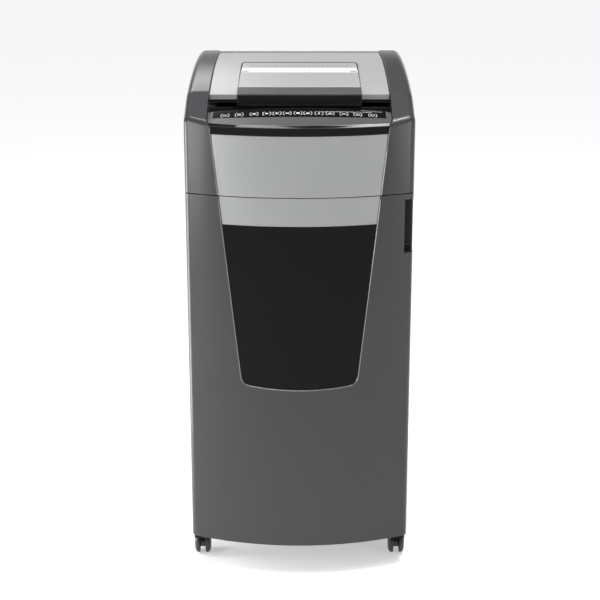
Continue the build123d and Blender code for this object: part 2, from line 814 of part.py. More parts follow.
cap_front_y = lid_front_y - grip_reach
cap_back_y = cover_front_y - joint_gap
cap_back_z = crown_z(cap_back_y, lid_drop) + cover_rise(cover_front_y)
cap_front_z = cap_back_z - cap_thickness * 3
grip_bottom_z = lid_edge_z - grip_drop
with BuildPart() as lid_grip:
    with BuildSketch(side_plane(0)):
        with BuildLine():
            seat_y = (cap_back_y + lid_front_y) / 2
            ThreePointArc(
                (cap_back_y, crown_z(cap_back_y, lid_drop)),
                (seat_y, crown_z(seat_y, lid_drop)),
                (lid_front_y, lid_edge_z),
            )
            Polyline(
                (lid_front_y, lid_edge_z),
                (lid_front_y, grip_bottom_z),
                (cap_front_y + wall, grip_bottom_z),
                (cap_front_y, grip_bottom_z + wall),
                (cap_front_y, cap_front_z - cap_thickness),
                (cap_back_y, cap_back_z - cap_thickness),
                (cap_back_y, crown_z(cap_back_y, lid_drop)),
            )
        make_face()
    extrude(amount=grip_width / 2, both=True)

with BuildPart() as lid_grip_cap:
    with BuildSketch(side_plane(0)) as cap_section:
        with BuildLine():
            Polyline(
                (cap_front_y, cap_front_z - cap_thickness),
                (cap_front_y, cap_front_z),
                (cap_back_y, cap_back_z),
                (cap_back_y, cap_back_z - cap_thickness),
                close=True,
            )
        make_face()
        fillet(cap_section.vertices().group_by(Axis.X)[0].sort_by(Axis.Y)[-1], cap_thickness * 0.8)
    extrude(amount=grip_width / 2, both=True)

# Pressure pad below the lid, on two studs, with a pair of folded leaf springs above it
pad_top = pad_z + pad_thickness
with BuildPart() as pressure_pad:
    with BuildSketch(level(pad_z)):
        with Locations((0, pad_middle_y)):
            RectangleRounded(pad_width, pad_length, 4 * wall)
    extrude(amount=pad_thickness)
    with BuildSketch(level(pad_z)):
        with Locations((0, pad_middle_y)):
            with GridLocations(pad_width / 4, 0, 4, 1):
                Rectangle(pad_width / 8, pad_length - 8 * wall)
    extrude(amount=pad_thickness / 2, mode=Mode.SUBTRACT)
    with BuildSketch(level(pad_top)):
        with Locations(*stud_places):
            Rectangle(2 * stud_radius, 2 * stud_radius)
    extrude(amount=2 * pad_travel)

spring_top_z = crown_z(pad_middle_y - spring_span / 6, lid_drop + wall) - 2 * seat_gap
with BuildPart() as pad_springs:
    for x in (-spring_spacing / 2 - spring_width / 2, spring_spacing / 2 - spring_width / 2):
        with BuildSketch(side_plane(x)):
            with BuildLine():
                foot = pad_top + seat_gap
                inner = [(-spring_span / 2, foot), (-spring_span / 6, spring_top_z - spring_thickness)]
                outer = [(-spring_span / 2 - 2 * spring_thickness, foot), (-spring_span / 6, spring_top_z)]
                half = outer + [(-y, z) for y, z in reversed(outer)] + [(-y, z) for y, z in inner] + inner[::-1]
                Polyline(*[(pad_middle_y + y, z) for y, z in half], close=True)
            make_face()
        extrude(amount=spring_width)

# Door: a bowed tub with a round hinge edge, a recess for trim and window, and a cut for the grip
pocket_top = door_top - grip_pocket_top
pocket_bottom = pocket_top - grip_pocket_height
door_height = door_top - door_bottom
trunnion_bottom = base_bottom + wall + bracket_thickness + seat_gap
trunnion_top = door_top - wall - bracket_thickness - seat_gap
recess_depth = inset_recess + inset_plate
pocket_left = half_width - grip_pocket_width
pocket_back_y = door_rear_y - hinge_radius
with BuildPart() as door_panel:
    with BuildSketch(level(door_bottom)):
        add(body_outline())
        with Locations((0, hinge_y)):
            Rectangle(2 * overall_width, 2 * overall_depth, align=(Align.CENTER, Align.MIN), mode=Mode.SUBTRACT)
        with Locations((hinge_x, hinge_y)):
            Circle(hinge_radius)
        with Locations((half_width - wall, hinge_y)):
            Rectangle(wall, hinge_radius, align=(Align.MIN, Align.MIN))
    extrude(amount=door_height)
    with BuildSketch(level(door_bottom + wall)):
        add(body_outline(wall))
        with Locations((0, bow_centre_y)):
            Circle(bow_radius - door_skin, mode=Mode.INTERSECT)
        with Locations((0, hinge_y + 2 * hinge_radius)):
            Rectangle(2 * overall_width, 2 * overall_depth, align=(Align.CENTER, Align.MIN), mode=Mode.SUBTRACT)
        with Locations((hinge_x, hinge_y)):
            Circle(hinge_radius, mode=Mode.SUBTRACT)
    extrude(amount=door_height - 2 * wall, mode=Mode.SUBTRACT)
    add(
        bowed_plate(inset_outline(window_bottom, door_top + wall, 0, window_sag), -wall, wall + recess_depth),
        mode=Mode.SUBTRACT,
    )
    with BuildSketch(front_plane(hinge_y)):
        add(inset_outline(window_bottom, trim_bottom, 0, window_sag))
        offset(amount=-window_lip, mode=Mode.REPLACE)
    extrude(amount=hinge_y - front_y, mode=Mode.SUBTRACT)
    with BuildSketch(level(pocket_bottom)):
        with Locations((half_width - grip_pocket_mouth, hinge_y)):
            Rectangle(2 * grip_pocket_mouth, overall_depth, align=(Align.MIN, Align.MAX))
    extrude(amount=grip_pocket_height, mode=Mode.SUBTRACT)
    for z0, z1 in ((door_bottom, trunnion_bottom), (trunnion_top, door_top)):
        with BuildSketch(level(z0)):
            with Locations((hinge_x, hinge_y)):
                Circle(hinge_notch_radius)
        extrude(amount=z1 - z0, mode=Mode.SUBTRACT)
    with BuildSketch(level(trunnion_bottom)):
        with Locations((hinge_x, hinge_y)):
            Circle(hinge_pin_radius + running_clearance)
    extrude(amount=hinge_pin_length + 2, mode=Mode.SUBTRACT)
    with BuildSketch(level(trunnion_top - hinge_pin_length - 2)):
        with Locations((hinge_x, hinge_y)):
            Circle(hinge_pin_radius + running_clearance)
    extrude(amount=hinge_pin_length + 2, mode=Mode.SUBTRACT)

with BuildPart() as door_trim:
    add(bowed_plate(inset_outline(trim_bottom, door_top, inset_gap), inset_recess, inset_plate))

with BuildPart() as door_window:
    outline = inset_outline(window_bottom + inset_gap, trim_bottom - inset_gap, inset_gap, window_sag)
    add(bowed_plate(outline, inset_recess, inset_plate))

# Finger grip: a cup behind the door's right edge, open to the side and at the cut in front
cup_back_y = pocket_back_y
with BuildPart() as door_grip_cup:
    with BuildSketch(level(pocket_bottom - grip_pocket_wall)) as cup_plan:
        add(body_outline(wall + seat_gap))
        with Locations((0, bow_centre_y)):
            Circle(bow_radius - door_skin - seat_gap, mode=Mode.INTERSECT)
        with Locations((pocket_left, cup_back_y)):
            Rectangle(grip_pocket_width, overall_depth, align=(Align.MIN, Align.MAX), mode=Mode.INTERSECT)
    extrude(amount=grip_pocket_height + 2 * grip_pocket_wall)
    with BuildSketch(level(pocket_bottom)):
        with Locations((pocket_left + grip_pocket_wall, cup_back_y - grip_pocket_wall)):
            Rectangle(grip_pocket_width, overall_depth, align=(Align.MIN, Align.MAX))
    extrude(amount=grip_pocket_height, mode=Mode.SUBTRACT)
    with BuildSketch(level(pocket_bottom + grip_ledge)):
        with Locations((half_width - grip_pocket_mouth, cup_back_y - grip_pocket_wall / 2)):
            Rectangle(grip_pocket_mouth - wall - 1, 3 * wall, align=(Align.MIN, Align.MAX))
    extrude(amount=grip_pocket_wall)

catch_top = cabinet_top - catch_drop
catch_x = half_width - wall - seat_gap
strike_x = half_width - wall - seat_gap
with BuildPart() as door_strike:
    with BuildSketch(level(catch_top - catch_height)):
        with Locations((strike_x, door_rear_y)):
            Rectangle(catch_width + wall, 2, align=(Align.MAX, Align.MAX))
        with Locations((strike_x, door_rear_y)):
            Rectangle(2, hinge_radius + 2 * wall, align=(Align.MAX, Align.MAX))
    extrude(amount=catch_height)

# Cabinet: side panels that turn round the back corners, with flanges for the deck and the door
flange_z0 = base_bottom + base_rim + flange_width
flange_z1 = cabinet_top - bracket_thickness - 2 * flange_width
shelf_z = seam_height - hoop_drop - shelf_thickness
shelf_reach = hoop_margin + 2 * hoop_bar_width
with BuildPart() as right_side_panel:
    with BuildSketch(level(base_bottom)):
        add(body_outline())
        add(body_outline(wall), mode=Mode.SUBTRACT)
        with Locations((half_width - rear_return, side_front_y)):
            Rectangle(2 * rear_return, overall_depth, align=(Align.MIN, Align.MIN), mode=Mode.INTERSECT)
    extrude(amount=cabinet_top - base_bottom)
    with BuildSketch(level(flange_z0)):
        with Locations((half_width, side_front_y)):
            Rectangle(flange_width + wall, wall, align=(Align.MAX, Align.MIN))
    extrude(amount=flange_z1 - flange_z0)
    with BuildSketch(level(catch_top - catch_height - seat_gap)):
        with Locations((half_width - wall, side_front_y)):
            Rectangle(flange_width, wall, align=(Align.MAX, Align.MIN))
    extrude(amount=catch_height + 2 * seat_gap, mode=Mode.SUBTRACT)
    with BuildSketch(level(deck_bottom - wall)):
        with Locations((half_width - wall, side_front_y + bracket_length)):
            Rectangle(
                flange_width, rear_y - side_front_y - bracket_length - rear_return, align=(Align.MAX, Align.MIN)
            )
    extrude(amount=wall)
    with BuildSketch(level(shelf_z)):
        with Locations((half_width - wall, 0)):
            with GridLocations(0, shelf_spacing, 1, 2):
                Rectangle(shelf_reach, shelf_length, align=(Align.MAX, Align.CENTER))
    extrude(amount=shelf_thickness)

with BuildPart() as left_side_panel:
    add(mirror(right_side_panel.part, about=Plane.YZ))

rear_half = half_width - rear_return - joint_gap
with BuildPart() as rear_panel:
    with BuildSketch(front_plane(rear_y)):
        with Locations((0, base_bottom)):
            Rectangle(2 * rear_half, cabinet_top - base_bottom, align=(Align.CENTER, Align.MIN))
    extrude(amount=wall)
    with BuildSketch(front_plane(rear_y - wall)):
        with Locations((0, deck_bottom - wall)):
            Rectangle(2 * rear_half, wall, align=(Align.CENTER, Align.MIN))
    extrude(amount=flange_width)

# Base tray with a rim inside the panels and sockets for the castor stems
stem_places = [
    (-half_width + stem_inset_x, front_y + stem_inset_front),
    (half_width - stem_inset_x, front_y + stem_inset_front),
    (-half_width + stem_inset_x, rear_y - stem_inset_rear),
    (half_width - stem_inset_x, rear_y - stem_inset_rear),
]
base_front_y = side_front_y + wall + seat_gap
with BuildPart() as base_tray:
    with BuildSketch(level(base_bottom)):
        add(body_outline(wall + seat_gap))
        with Locations((0, base_front_y)):
            Rectangle(2 * overall_width, 2 * overall_depth, align=(Align.CENTER, Align.MIN), mode=Mode.INTERSECT)
    extrude(amount=base_rim)
    with BuildSketch(level(base_bottom + wall)):
        add(body_outline(2 * wall + seat_gap))
        with Locations((0, base_front_y + wall)):
            Rectangle(2 * overall_width, 2 * overall_depth, align=(Align.CENTER, Align.MIN), mode=Mode.INTERSECT)
    extrude(amount=base_rim - wall, mode=Mode.SUBTRACT)
    with BuildSketch(level(base_bottom + wall)):
        with Locations((-half_width, base_front_y)):
            Rectangle(2 * hinge_radius + wall, bracket_length, align=(Align.MIN, Align.MIN))
    extrude(amount=base_rim, mode=Mode.SUBTRACT)
    with BuildSketch(level(base_bottom)):
        with Locations(*stem_places):
            RegularPolygon(stem_radius + 2.5 * wall, 8)
    extrude(amount=stem_engagement + wall)
    with BuildSketch(level(base_bottom)):
        with Locations(*stem_places):
            Circle(stem_radius + running_clearance)
    extrude(amount=stem_engagement + 1, mode=Mode.SUBTRACT)

# Deck between cabinet and head, open below the cutters
deck_inset = inset_recess + inset_plate + 1
drop_half = cutter_half + cutter_margin / 3
drop_length = shaft_distance + 2 * disc_radius + cutter_margin / 2
with BuildPart() as deck_plate:
    with BuildSketch(level(deck_bottom)):
        add(body_outline(deck_inset))
        with Locations((0, nip_y)):
            Rectangle(2 * drop_half, drop_length, mode=Mode.SUBTRACT)
    extrude(amount=deck_thickness)

# Shred chute: a skirt that hangs from the deck round the opening and spreads a little downwards
with BuildPart() as shred_chute:
    with BuildSketch(level(deck_bottom)):
        with Locations((0, nip_y)):
            Rectangle(2 * (drop_half + chute_wall), drop_length + 2 * chute_wall)
    with BuildSketch(level(deck_bottom - chute_depth)):
        with Locations((0, nip_y)):
            Rectangle(2 * (drop_half + chute_wall) + chute_margin, drop_length + 2 * chute_wall + chute_margin)
    loft(ruled=True)
    with BuildSketch(level(deck_bottom)):
        with Locations((0, nip_y)):
            Rectangle(2 * drop_half, drop_length)
    with BuildSketch(level(deck_bottom - chute_depth)):
        with Locations((0, nip_y)):
            Rectangle(2 * drop_half + chute_margin, drop_length + chute_margin)
    loft(ruled=True, mode=Mode.SUBTRACT)

# Flat bar hoop that holds the mouth of the waste bag, lying on the shelves of the side panels
hoop_z = seam_height - hoop_drop
hoop_half = half_width - wall - hoop_margin
hoop_front = min(side_front_y + hoop_margin, nip_y - drop_length / 2 - chute_margin - 2 * hoop_bar_width)
hoop_rear = rear_y - wall - hoop_margin
with BuildPart() as bag_hoop:
    with BuildSketch(level(hoop_z)) as hoop:
        with Locations((0, (hoop_front + hoop_rear) / 2)):
            Rectangle(2 * hoop_half, hoop_rear - hoop_front)
        chamfer(hoop.vertices(), hoop_bend)
        offset(amount=-hoop_bar_width, mode=Mode.SUBTRACT)
    extrude(amount=hoop_bar_height)

# Hinge brackets of the door, fixed inside the left side panel, each with its pin
bracket_half_width = hinge_radius - wall - seat_gap
lower_bracket_z = trunnion_bottom - seat_gap - bracket_thickness
upper_bracket_z = trunnion_top + seat_gap
with BuildPart() as door_hinge_brackets:
    for z in (lower_bracket_z, upper_bracket_z):
        with BuildSketch(level(z)):
            with Locations((hinge_x, hinge_y)):
                Circle(bracket_half_width)
                Rectangle(2 * bracket_half_width, bracket_length, align=(Align.CENTER, Align.MIN))
            with Locations((-half_width + wall + seat_gap, hinge_y + bracket_length)):
                Rectangle(2 * bracket_half_width, bracket_length / 2, align=(Align.MIN, Align.MAX))
        extrude(amount=bracket_thickness)
    with BuildSketch(level(lower_bracket_z + bracket_thickness / 2)):
        with Locations((hinge_x, hinge_y)):
            Circle(hinge_pin_radius)
    extrude(amount=bracket_thickness / 2 + hinge_pin_length)
    with BuildSketch(level(upper_bracket_z + bracket_thickness / 2)):
        with Locations((hinge_x, hinge_y)):
            Circle(hinge_pin_radius)
    extrude(amount=-bracket_thickness / 2 - hinge_pin_length)

with BuildPart() as door_catch:
    with BuildSketch(level(catch_top - catch_height)):
        with Locations((catch_x, side_front_y)):
            Rectangle(catch_width, catch_depth, align=(Align.MAX, Align.MIN))
    extrude(amount=catch_height)

# Castors: a hood with stem and axle, and two wheels that turn by themselves
castor_names = ["front_left", "front_right", "rear_left", "rear_right"]
stem_foot = 2 * wheel_radius + 2
wheel_half_span = castor_web / 2 + wheel_side_gap + wheel_width
hoods = {}
wheels = {}
for castor, (stem_x, stem_y) in zip(castor_names, stem_places):
    axle_y = stem_y - castor_trail
    with BuildPart() as hood:
        with BuildSketch(side_plane(stem_x)):
            with Locations((axle_y, wheel_radius)):
                RegularPolygon(wheel_radius / 2, wheel_sides // 2)
            with Locations((stem_y, stem_foot)):
                RegularPolygon(2 * stem_radius, wheel_sides // 2)
            make_hull()
        extrude(amount=castor_web / 2, both=True)
        inner = wheel_radius + fender_gap
        outer = inner + fender_thickness
        turns = [radians(fender_start + fender_sweep * step / 6) for step in range(7)]
        arch = [(inner * cos(turn), inner * sin(turn)) for turn in turns]
        arch += [(outer * cos(turn), outer * sin(turn)) for turn in reversed(turns)]
        with BuildSketch(side_plane(stem_x)):
            with BuildLine():
                Polyline(*[(axle_y + y, wheel_radius + z) for y, z in arch], close=True)
            make_face()
        extrude(amount=wheel_half_span, both=True)
        with BuildSketch(level(stem_foot)):
            with Locations((stem_x, stem_y)):
                Circle(stem_radius)
        extrude(amount=base_bottom + stem_engagement - stem_foot)
        with BuildSketch(side_plane(stem_x)):
            with Locations((axle_y, wheel_radius)):
                Circle(axle_radius)
        extrude(amount=wheel_half_span - 1, both=True)
    hoods[castor] = hood.part
    for side, sign in (("inner", -1 if stem_x > 0 else 1), ("outer", 1 if stem_x > 0 else -1)):
        face = stem_x + sign * (castor_web / 2 + wheel_side_gap)
        with BuildPart() as wheel:
            with BuildSketch(side_plane(face)):
                with Locations((axle_y, wheel_radius)):
                    RegularPolygon(wheel_radius, wheel_sides, major_radius=False, rotation=180 / wheel_sides)
            extrude(amount=sign * wheel_width)
            chamfer(wheel.faces().filter_by(Axis.X).sort_by(Axis.X)[-1 if sign > 0 else 0].edges(), wheel_shoulder)
            with BuildSketch(side_plane(face)):
                with Locations((axle_y, wheel_radius)):
                    Circle(axle_radius + running_clearance)
            extrude(amount=sign * wheel_width, mode=Mode.SUBTRACT)
        wheels[castor, side] = wheel.part

# Cutters: interleaved toothed discs, each pair of neighbours turned a little against the last
ramp = [(0, 1.0), (9, 0.0), (65, 0.45)]
tooth_depth = disc_overlap - core_gap / 2
stagger = 360 / disc_teeth / 5
journal_end = plate_outer + bush_proud


def cutter_shaft(y, places, left_end, right_end):
    """Cutter with its discs at the given places, round journals and hexagonal drive ends."""
    with BuildPart() as cutter:
        with BuildSketch(side_plane(-cutter_half)):
            with Locations((y, cutter_z)):
                RegularPolygon(core_radius, 6)
        extrude(amount=2 * cutter_half)
        for index, x in enumerate(places):
            points = []
            for tooth in range(disc_teeth):
                for angle, height in ramp:
                    turn = radians(tooth * 360 / disc_teeth + angle + index * stagger)
                    radius = disc_radius - tooth_depth * (1 - height)
                    points.append((y + radius * cos(turn), cutter_z + radius * sin(turn)))
            with BuildSketch(side_plane(x - disc_thickness / 2)):
                with BuildLine():
                    Polyline(*points, close=True)
                make_face()
        extrude(amount=disc_thickness)
        with BuildSketch(side_plane(-journal_end)):
            with Locations((y, cutter_z)):
                Circle(journal_radius)
        extrude(amount=2 * journal_end)
        with BuildSketch(side_plane(left_end)):
            with Locations((y, cutter_z)):
                RegularPolygon(journal_radius, 6)
        extrude(amount=right_end - left_end)
    return cutter.part


front_places = [(i - (disc_count - 1) / 2) * disc_pitch for i in range(disc_count)]
rear_places = [x + disc_pitch / 2 for x in front_places[:-1]]
pulley_start = gear_start
pulley_end = pulley_start + pulley_width + 2 * pulley_flange
with BuildPart() as front_cutter:
    add(cutter_shaft(front_cutter_y, front_places, -journal_end, gear_end))

with BuildPart() as rear_cutter:
    add(cutter_shaft(rear_cutter_y, rear_places, -pulley_end, gear_end))

# Spur gears: the two cutter gears mesh at equal size, the compound gear steps the motor down
rear_phase = 180.0
front_phase = mesh_phase(rear_phase, cutter_teeth, 180.0, cutter_teeth)
pinion_phase = mesh_phase(rear_phase, cutter_teeth, compound_angle, pinion_teeth)
motor_phase = mesh_phase(0.0, reduction_wheel_teeth, motor_angle, motor_teeth)


def cutter_gear(y, phase):
    """Gear of a cutter, on its journal outside the right frame plate."""
    with BuildPart() as gear:
        with BuildSketch(side_plane(gear_start)):
            with Locations((y, cutter_z)):
                add(gear_outline(cutter_module, cutter_teeth, phase))
                RegularPolygon(journal_radius + press_clearance, 6, mode=Mode.SUBTRACT)
        extrude(amount=gear_width)
    return gear.part


with BuildPart() as front_cutter_gear:
    add(cutter_gear(front_cutter_y, front_phase))

with BuildPart() as rear_cutter_gear:
    add(cutter_gear(rear_cutter_y, rear_phase))

with BuildPart() as compound_gear:
    with BuildSketch(side_plane(gear_start)):
        with Locations((compound_y, compound_z)):
            add(gear_outline(cutter_module, pinion_teeth, pinion_phase))
    extrude(amount=wheel_start - gear_start)
    with BuildSketch(side_plane(wheel_start)):
        with Locations((compound_y, compound_z)):
            add(gear_outline(reduction_module, reduction_wheel_teeth, 0.0))
    extrude(amount=wheel_face)
    with BuildSketch(side_plane(gear_start)):
        with Locations((compound_y, compound_z)):
            Circle(stub_radius + running_clearance)
    extrude(amount=wheel_end - gear_start, mode=Mode.SUBTRACT)

with BuildPart() as motor_pinion:
    with BuildSketch(side_plane(wheel_start - gear_side_gap / 2)):
        with Locations((motor_y, motor_z)):
            add(gear_outline(reduction_module, motor_teeth, motor_phase))
    extrude(amount=wheel_face + gear_side_gap)
    with BuildSketch(side_plane(plate_inner - 2 * plate_thickness)):
        with Locations((motor_y, motor_z)):
            Circle(motor_shaft_radius)
    extrude(amount=wheel_start - plate_inner + 2 * plate_thickness)

# Cutter frame: two plates that stand on the deck, tied by rods; the right one carries the motor
bush_radius = journal_radius + bush_wall
feed_bush_radius = feed_shaft_radius + bush_wall * 2 / 3
frame_front_y = front_cutter_y - plate_front
frame_rear_y = rear_cutter_y + plate_rear
tie_places = [
    (frame_front_y + 2 * tie_radius, deck_top + 2.5 * tie_radius),
    (frame_front_y + 2 * tie_radius, plate_top - 5 * tie_radius),
    (frame_rear_y - 4 * tie_radius, deck_top + 2.5 * tie_radius),
]
with BuildPart() as cutter_frame:
    for x, back in ((-plate_outer, frame_rear_y), (plate_inner, motor_y + motor_radius)):
        with BuildSketch(side_plane(x)) as plate_outline:
            with Locations((frame_front_y, deck_top)):
                Rectangle(back - frame_front_y, plate_top - deck_top, align=(Align.MIN, Align.MIN))
            chamfer(plate_outline.vertices().group_by(Axis.Y)[-1], 4 * wall)
            with Locations((front_cutter_y, cutter_z), (rear_cutter_y, cutter_z)):
                Rectangle(*[2 * (bush_radius + press_clearance)] * 2, mode=Mode.SUBTRACT)
            with Locations((feed_y, feed_z)):
                Rectangle(*[2 * (feed_bush_radius + press_clearance)] * 2, mode=Mode.SUBTRACT)
            if x > 0:
                with Locations((motor_y, motor_z)):
                    Circle(2 * motor_shaft_radius, mode=Mode.SUBTRACT)
        extrude(amount=plate_thickness)
    with BuildSketch(side_plane(plate_outer)):
        with Locations((compound_y, compound_z)):
            Circle(stub_radius)
    extrude(amount=wheel_end + gear_side_gap - plate_outer)
    with BuildSketch(side_plane(-plate_inner)):
        with Locations(*tie_places):
            RegularPolygon(tie_radius, 6)
    extrude(amount=2 * plate_inner)

with BuildPart() as bearings:
    for sign in (-1, 1):
        for y, z, bore, outer in (
            (front_cutter_y, cutter_z, journal_radius, bush_radius),
            (rear_cutter_y, cutter_z, journal_radius, bush_radius),
            (feed_y, feed_z, feed_shaft_radius, feed_bush_radius),
        ):
            with BuildSketch(side_plane(sign * plate_inner)):
                with Locations((y, z)):
                    Rectangle(2 * outer, 2 * outer)
                    Circle(bore + running_clearance, mode=Mode.SUBTRACT)
            extrude(amount=sign * (plate_thickness + bush_proud))

# Stripper combs: a bar along each cutter with a finger in every groove
comb_reach = disc_radius + comb_gap
finger = disc_pitch - disc_thickness - 2 * comb_gap
with BuildPart() as stripper_combs:
    for axis_y, sign, places in ((front_cutter_y, -1, rear_places), (rear_cutter_y, 1, front_places[1:-1])):
        with BuildSketch(level(cutter_z - comb_height / 2)):
            with Locations((0, axis_y + sign * (comb_reach + comb_depth / 2))):
                Rectangle(2 * (plate_inner - seat_gap), comb_depth)
        extrude(amount=comb_height)
        with BuildSketch(level(cutter_z - comb_height / 4)):
            for x in places:
                with Locations((x, axis_y + sign * (comb_reach + core_radius + comb_gap) / 2)):
                    Rectangle(finger, comb_reach - core_radius - comb_gap)
        extrude(amount=comb_height / 2)

# Motor, bolted to the inside of the right frame plate: a square stack between round end bells
bell_length = motor_length / 4
motor_rear_x = plate_inner - motor_length
with BuildPart() as motor:
    with BuildSketch(side_plane(motor_rear_x)):
        with Locations((motor_y, motor_z)):
            RegularPolygon(bell_radius, bell_sides)
    extrude(amount=motor_length)
    with BuildSketch(side_plane(motor_rear_x + bell_length)) as stack:
        with Locations((motor_y, motor_z)):
            Rectangle(2 * motor_radius, 2 * motor_radius)
        chamfer(stack.vertices(), motor_radius / 4)
    extrude(amount=motor_length - 2 * bell_length)
    with BuildSketch(side_plane(plate_inner)):
        with Locations((motor_y, motor_z)):
            Circle(motor_shaft_radius + running_clearance)
    extrude(amount=-3 * plate_thickness, mode=Mode.SUBTRACT)

# Feed shaft with rubber rollers that stand through the tray floor, driven by a belt on the left
with BuildPart() as feed_shaft:
    with BuildSketch(side_plane(-journal_end)):
        with Locations((feed_y, feed_z)):
            Circle(feed_shaft_radius)
    extrude(amount=2 * journal_end)
    with BuildSketch(side_plane(-pulley_end)):
        with Locations((feed_y, feed_z)):
            RegularPolygon(feed_shaft_radius, 6)
    extrude(amount=pulley_end)

with BuildPart() as feed_rollers:
    for x, y in roller_places:
        with BuildSketch(side_plane(x - feed_roller_width / 2)):
            with Locations((y, feed_z)):
                RegularPolygon(feed_roller_radius, roller_flutes)
                Circle(feed_shaft_radius + press_clearance, mode=Mode.SUBTRACT)
        extrude(amount=feed_roller_width)


def belt_pulley(y, z):
    """Grooved belt pulley on the left end of a shaft, with a flange at each side."""
    with BuildPart() as pulley:
        for start, width, radius in (
            (pulley_start, pulley_flange, pulley_radius + 2 * belt_thickness),
            (pulley_start + pulley_flange, pulley_width, pulley_radius),
            (pulley_end - pulley_flange, pulley_flange, pulley_radius + 2 * belt_thickness),
        ):
            with BuildSketch(side_plane(-start)):
                with Locations((y, z)):
                    RegularPolygon(radius, pulley_sides)
            extrude(amount=-width)
    return pulley.part


with BuildPart() as drive_pulley:
    add(belt_pulley(rear_cutter_y, cutter_z))
    with BuildSketch(side_plane(-pulley_start)):
        with Locations((rear_cutter_y, cutter_z)):
            RegularPolygon(journal_radius + press_clearance, 6)
    extrude(amount=pulley_start - pulley_end, mode=Mode.SUBTRACT)

with BuildPart() as feed_pulley:
    add(belt_pulley(feed_y, feed_z))
    with BuildSketch(side_plane(-pulley_start)):
        with Locations((feed_y, feed_z)):
            RegularPolygon(feed_shaft_radius + press_clearance, 6)
    extrude(amount=pulley_start - pulley_end, mode=Mode.SUBTRACT)

belt_inner = pulley_radius + seat_gap
with BuildPart() as feed_belt:
    with BuildSketch(side_plane(-pulley_end + pulley_flange + 2 * seat_gap)):
        with Locations((rear_cutter_y, cutter_z), (feed_y, feed_z)):
            RegularPolygon(belt_inner + belt_thickness, pulley_sides, major_radius=False)
        make_hull()
    extrude(amount=pulley_width - 4 * seat_gap)
    with BuildSketch(side_plane(-pulley_end + pulley_flange + 2 * seat_gap)):
        with Locations((rear_cutter_y, cutter_z), (feed_y, feed_z)):
            RegularPolygon(belt_inner, pulley_sides, major_radius=False)
        make_hull()
    extrude(amount=pulley_width - 4 * seat_gap, mode=Mode.SUBTRACT)

# Circuit boards: the control board under the control panel, the power board on the deck
power_y = rear_y - wall - inlet_depth - power_board_depth
board_top = lip_bottom
with BuildPart() as circuit_boards:
    with BuildSketch(level(board_top - board_thickness)):
        with Locations((0, strip_rear_y)):
            Rectangle(control_board_length, strip_depth * 0.75, align=(Align.CENTER, Align.MAX))
    extrude(amount=board_thickness)
    with BuildSketch(level(board_top - board_thickness)):
        with Locations((0, strip_rear_y - strip_depth / 3)):
            with GridLocations(control_board_length / 4, 0, 4, 1):
                Rectangle(6 * wall, 4 * wall)
    extrude(amount=-2 * wall)
    with BuildSketch(level(deck_top + standoff)):
        with Locations((-inlet_x / 2, power_y)):
            Rectangle(power_board_length, power_board_depth)
    extrude(amount=board_thickness)
    with BuildSketch(level(deck_top)):
        with Locations((-inlet_x / 2, power_y)):
            with GridLocations(power_board_length - 6 * wall, power_board_depth - 6 * wall, 2, 2):
                Rectangle(2 * wall, 2 * wall)
    extrude(amount=standoff)
    with BuildSketch(level(deck_top + standoff + board_thickness)):
        with Locations((-inlet_x / 2 - power_board_length / 4, power_y)):
            Rectangle(12 * wall, 12 * wall)
        with Locations((-inlet_x / 2 + power_board_length / 5, power_y - power_board_depth / 4)):
            Rectangle(6 * wall, 5 * wall)
        with Locations((-inlet_x / 2 + power_board_length / 5, power_y + power_board_depth / 5)):
            RegularPolygon(3 * wall, 8)
    extrude(amount=9 * wall)

pieces = {
    "base_tray": base_tray.part,
    "left_side_panel": left_side_panel.part,
    "right_side_panel": right_side_panel.part,
    "rear_panel": rear_panel.part,
    "deck_plate": deck_plate.part,
    "shred_chute": shred_chute.part,
    "bag_hoop": bag_hoop.part,
    "door_hinge_brackets": door_hinge_brackets.part,
    "door_catch": door_catch.part,
    "left_cheek": left_cheek.part,
    "right_cheek": right_cheek.part,
    "front_fascia": front_fascia.part,
    "control_panel": control_panel.part,
    "throat_front_guide": throat_front_guide.part,
    "throat_rear_guide": throat_rear_guide.part,
    "paper_tray": paper_tray.part,
    "rear_cover": rear_cover.part,
    "power_inlet": power_inlet.part,
    "power_rocker": power_rocker.part,
    "circuit_boards": circuit_boards.part,
    "lid_shell": lid_shell.part,
    "lid_hinge_pins": lid_hinge_pins.part,
    "lid_centre_cover": lid_centre_cover.part,
    "lid_level_strip": lid_level_strip.part,
    "lid_grip": lid_grip.part,
    "lid_grip_cap": lid_grip_cap.part,
    "pressure_pad": pressure_pad.part,
    "pad_springs": pad_springs.part,
    "door_panel": door_panel.part,
    "door_trim": door_trim.part,
    "door_window": door_window.part,
    "door_grip_cup": door_grip_cup.part,
    "door_strike": door_strike.part,
    "front_cutter": front_cutter.part,
    "rear_cutter": rear_cutter.part,
    "front_cutter_gear": front_cutter_gear.part,
    "rear_cutter_gear": rear_cutter_gear.part,
    "compound_gear": compound_gear.part,
    "motor_pinion": motor_pinion.part,
    "motor": motor.part,
    "cutter_frame": cutter_frame.part,
    "bearings": bearings.part,
    "stripper_combs": stripper_combs.part,
    "feed_shaft": feed_shaft.part,
    "feed_rollers": feed_rollers.part,
    "drive_pulley": drive_pulley.part,
    "feed_pulley": feed_pulley.part,
    "feed_belt": feed_belt.part,
}
for castor in castor_names:
    pieces[f"castor_{castor}_hood"] = hoods[castor]
for (castor, side), wheel_part in wheels.items():
    pieces[f"castor_{castor}_{side}_wheel"] = wheel_part

os.makedirs("parts", exist_ok=True)
for name, piece in pieces.items():
    piece.label = name
    export_step(piece, f"parts/{name}.step")
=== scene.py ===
"""Looks of a free-standing office paper shredder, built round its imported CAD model."""
import logging
import math
from contextlib import contextmanager
from dataclasses import dataclass
from enum import Enum, StrEnum, auto
from typing import Callable, Iterator, Sequence

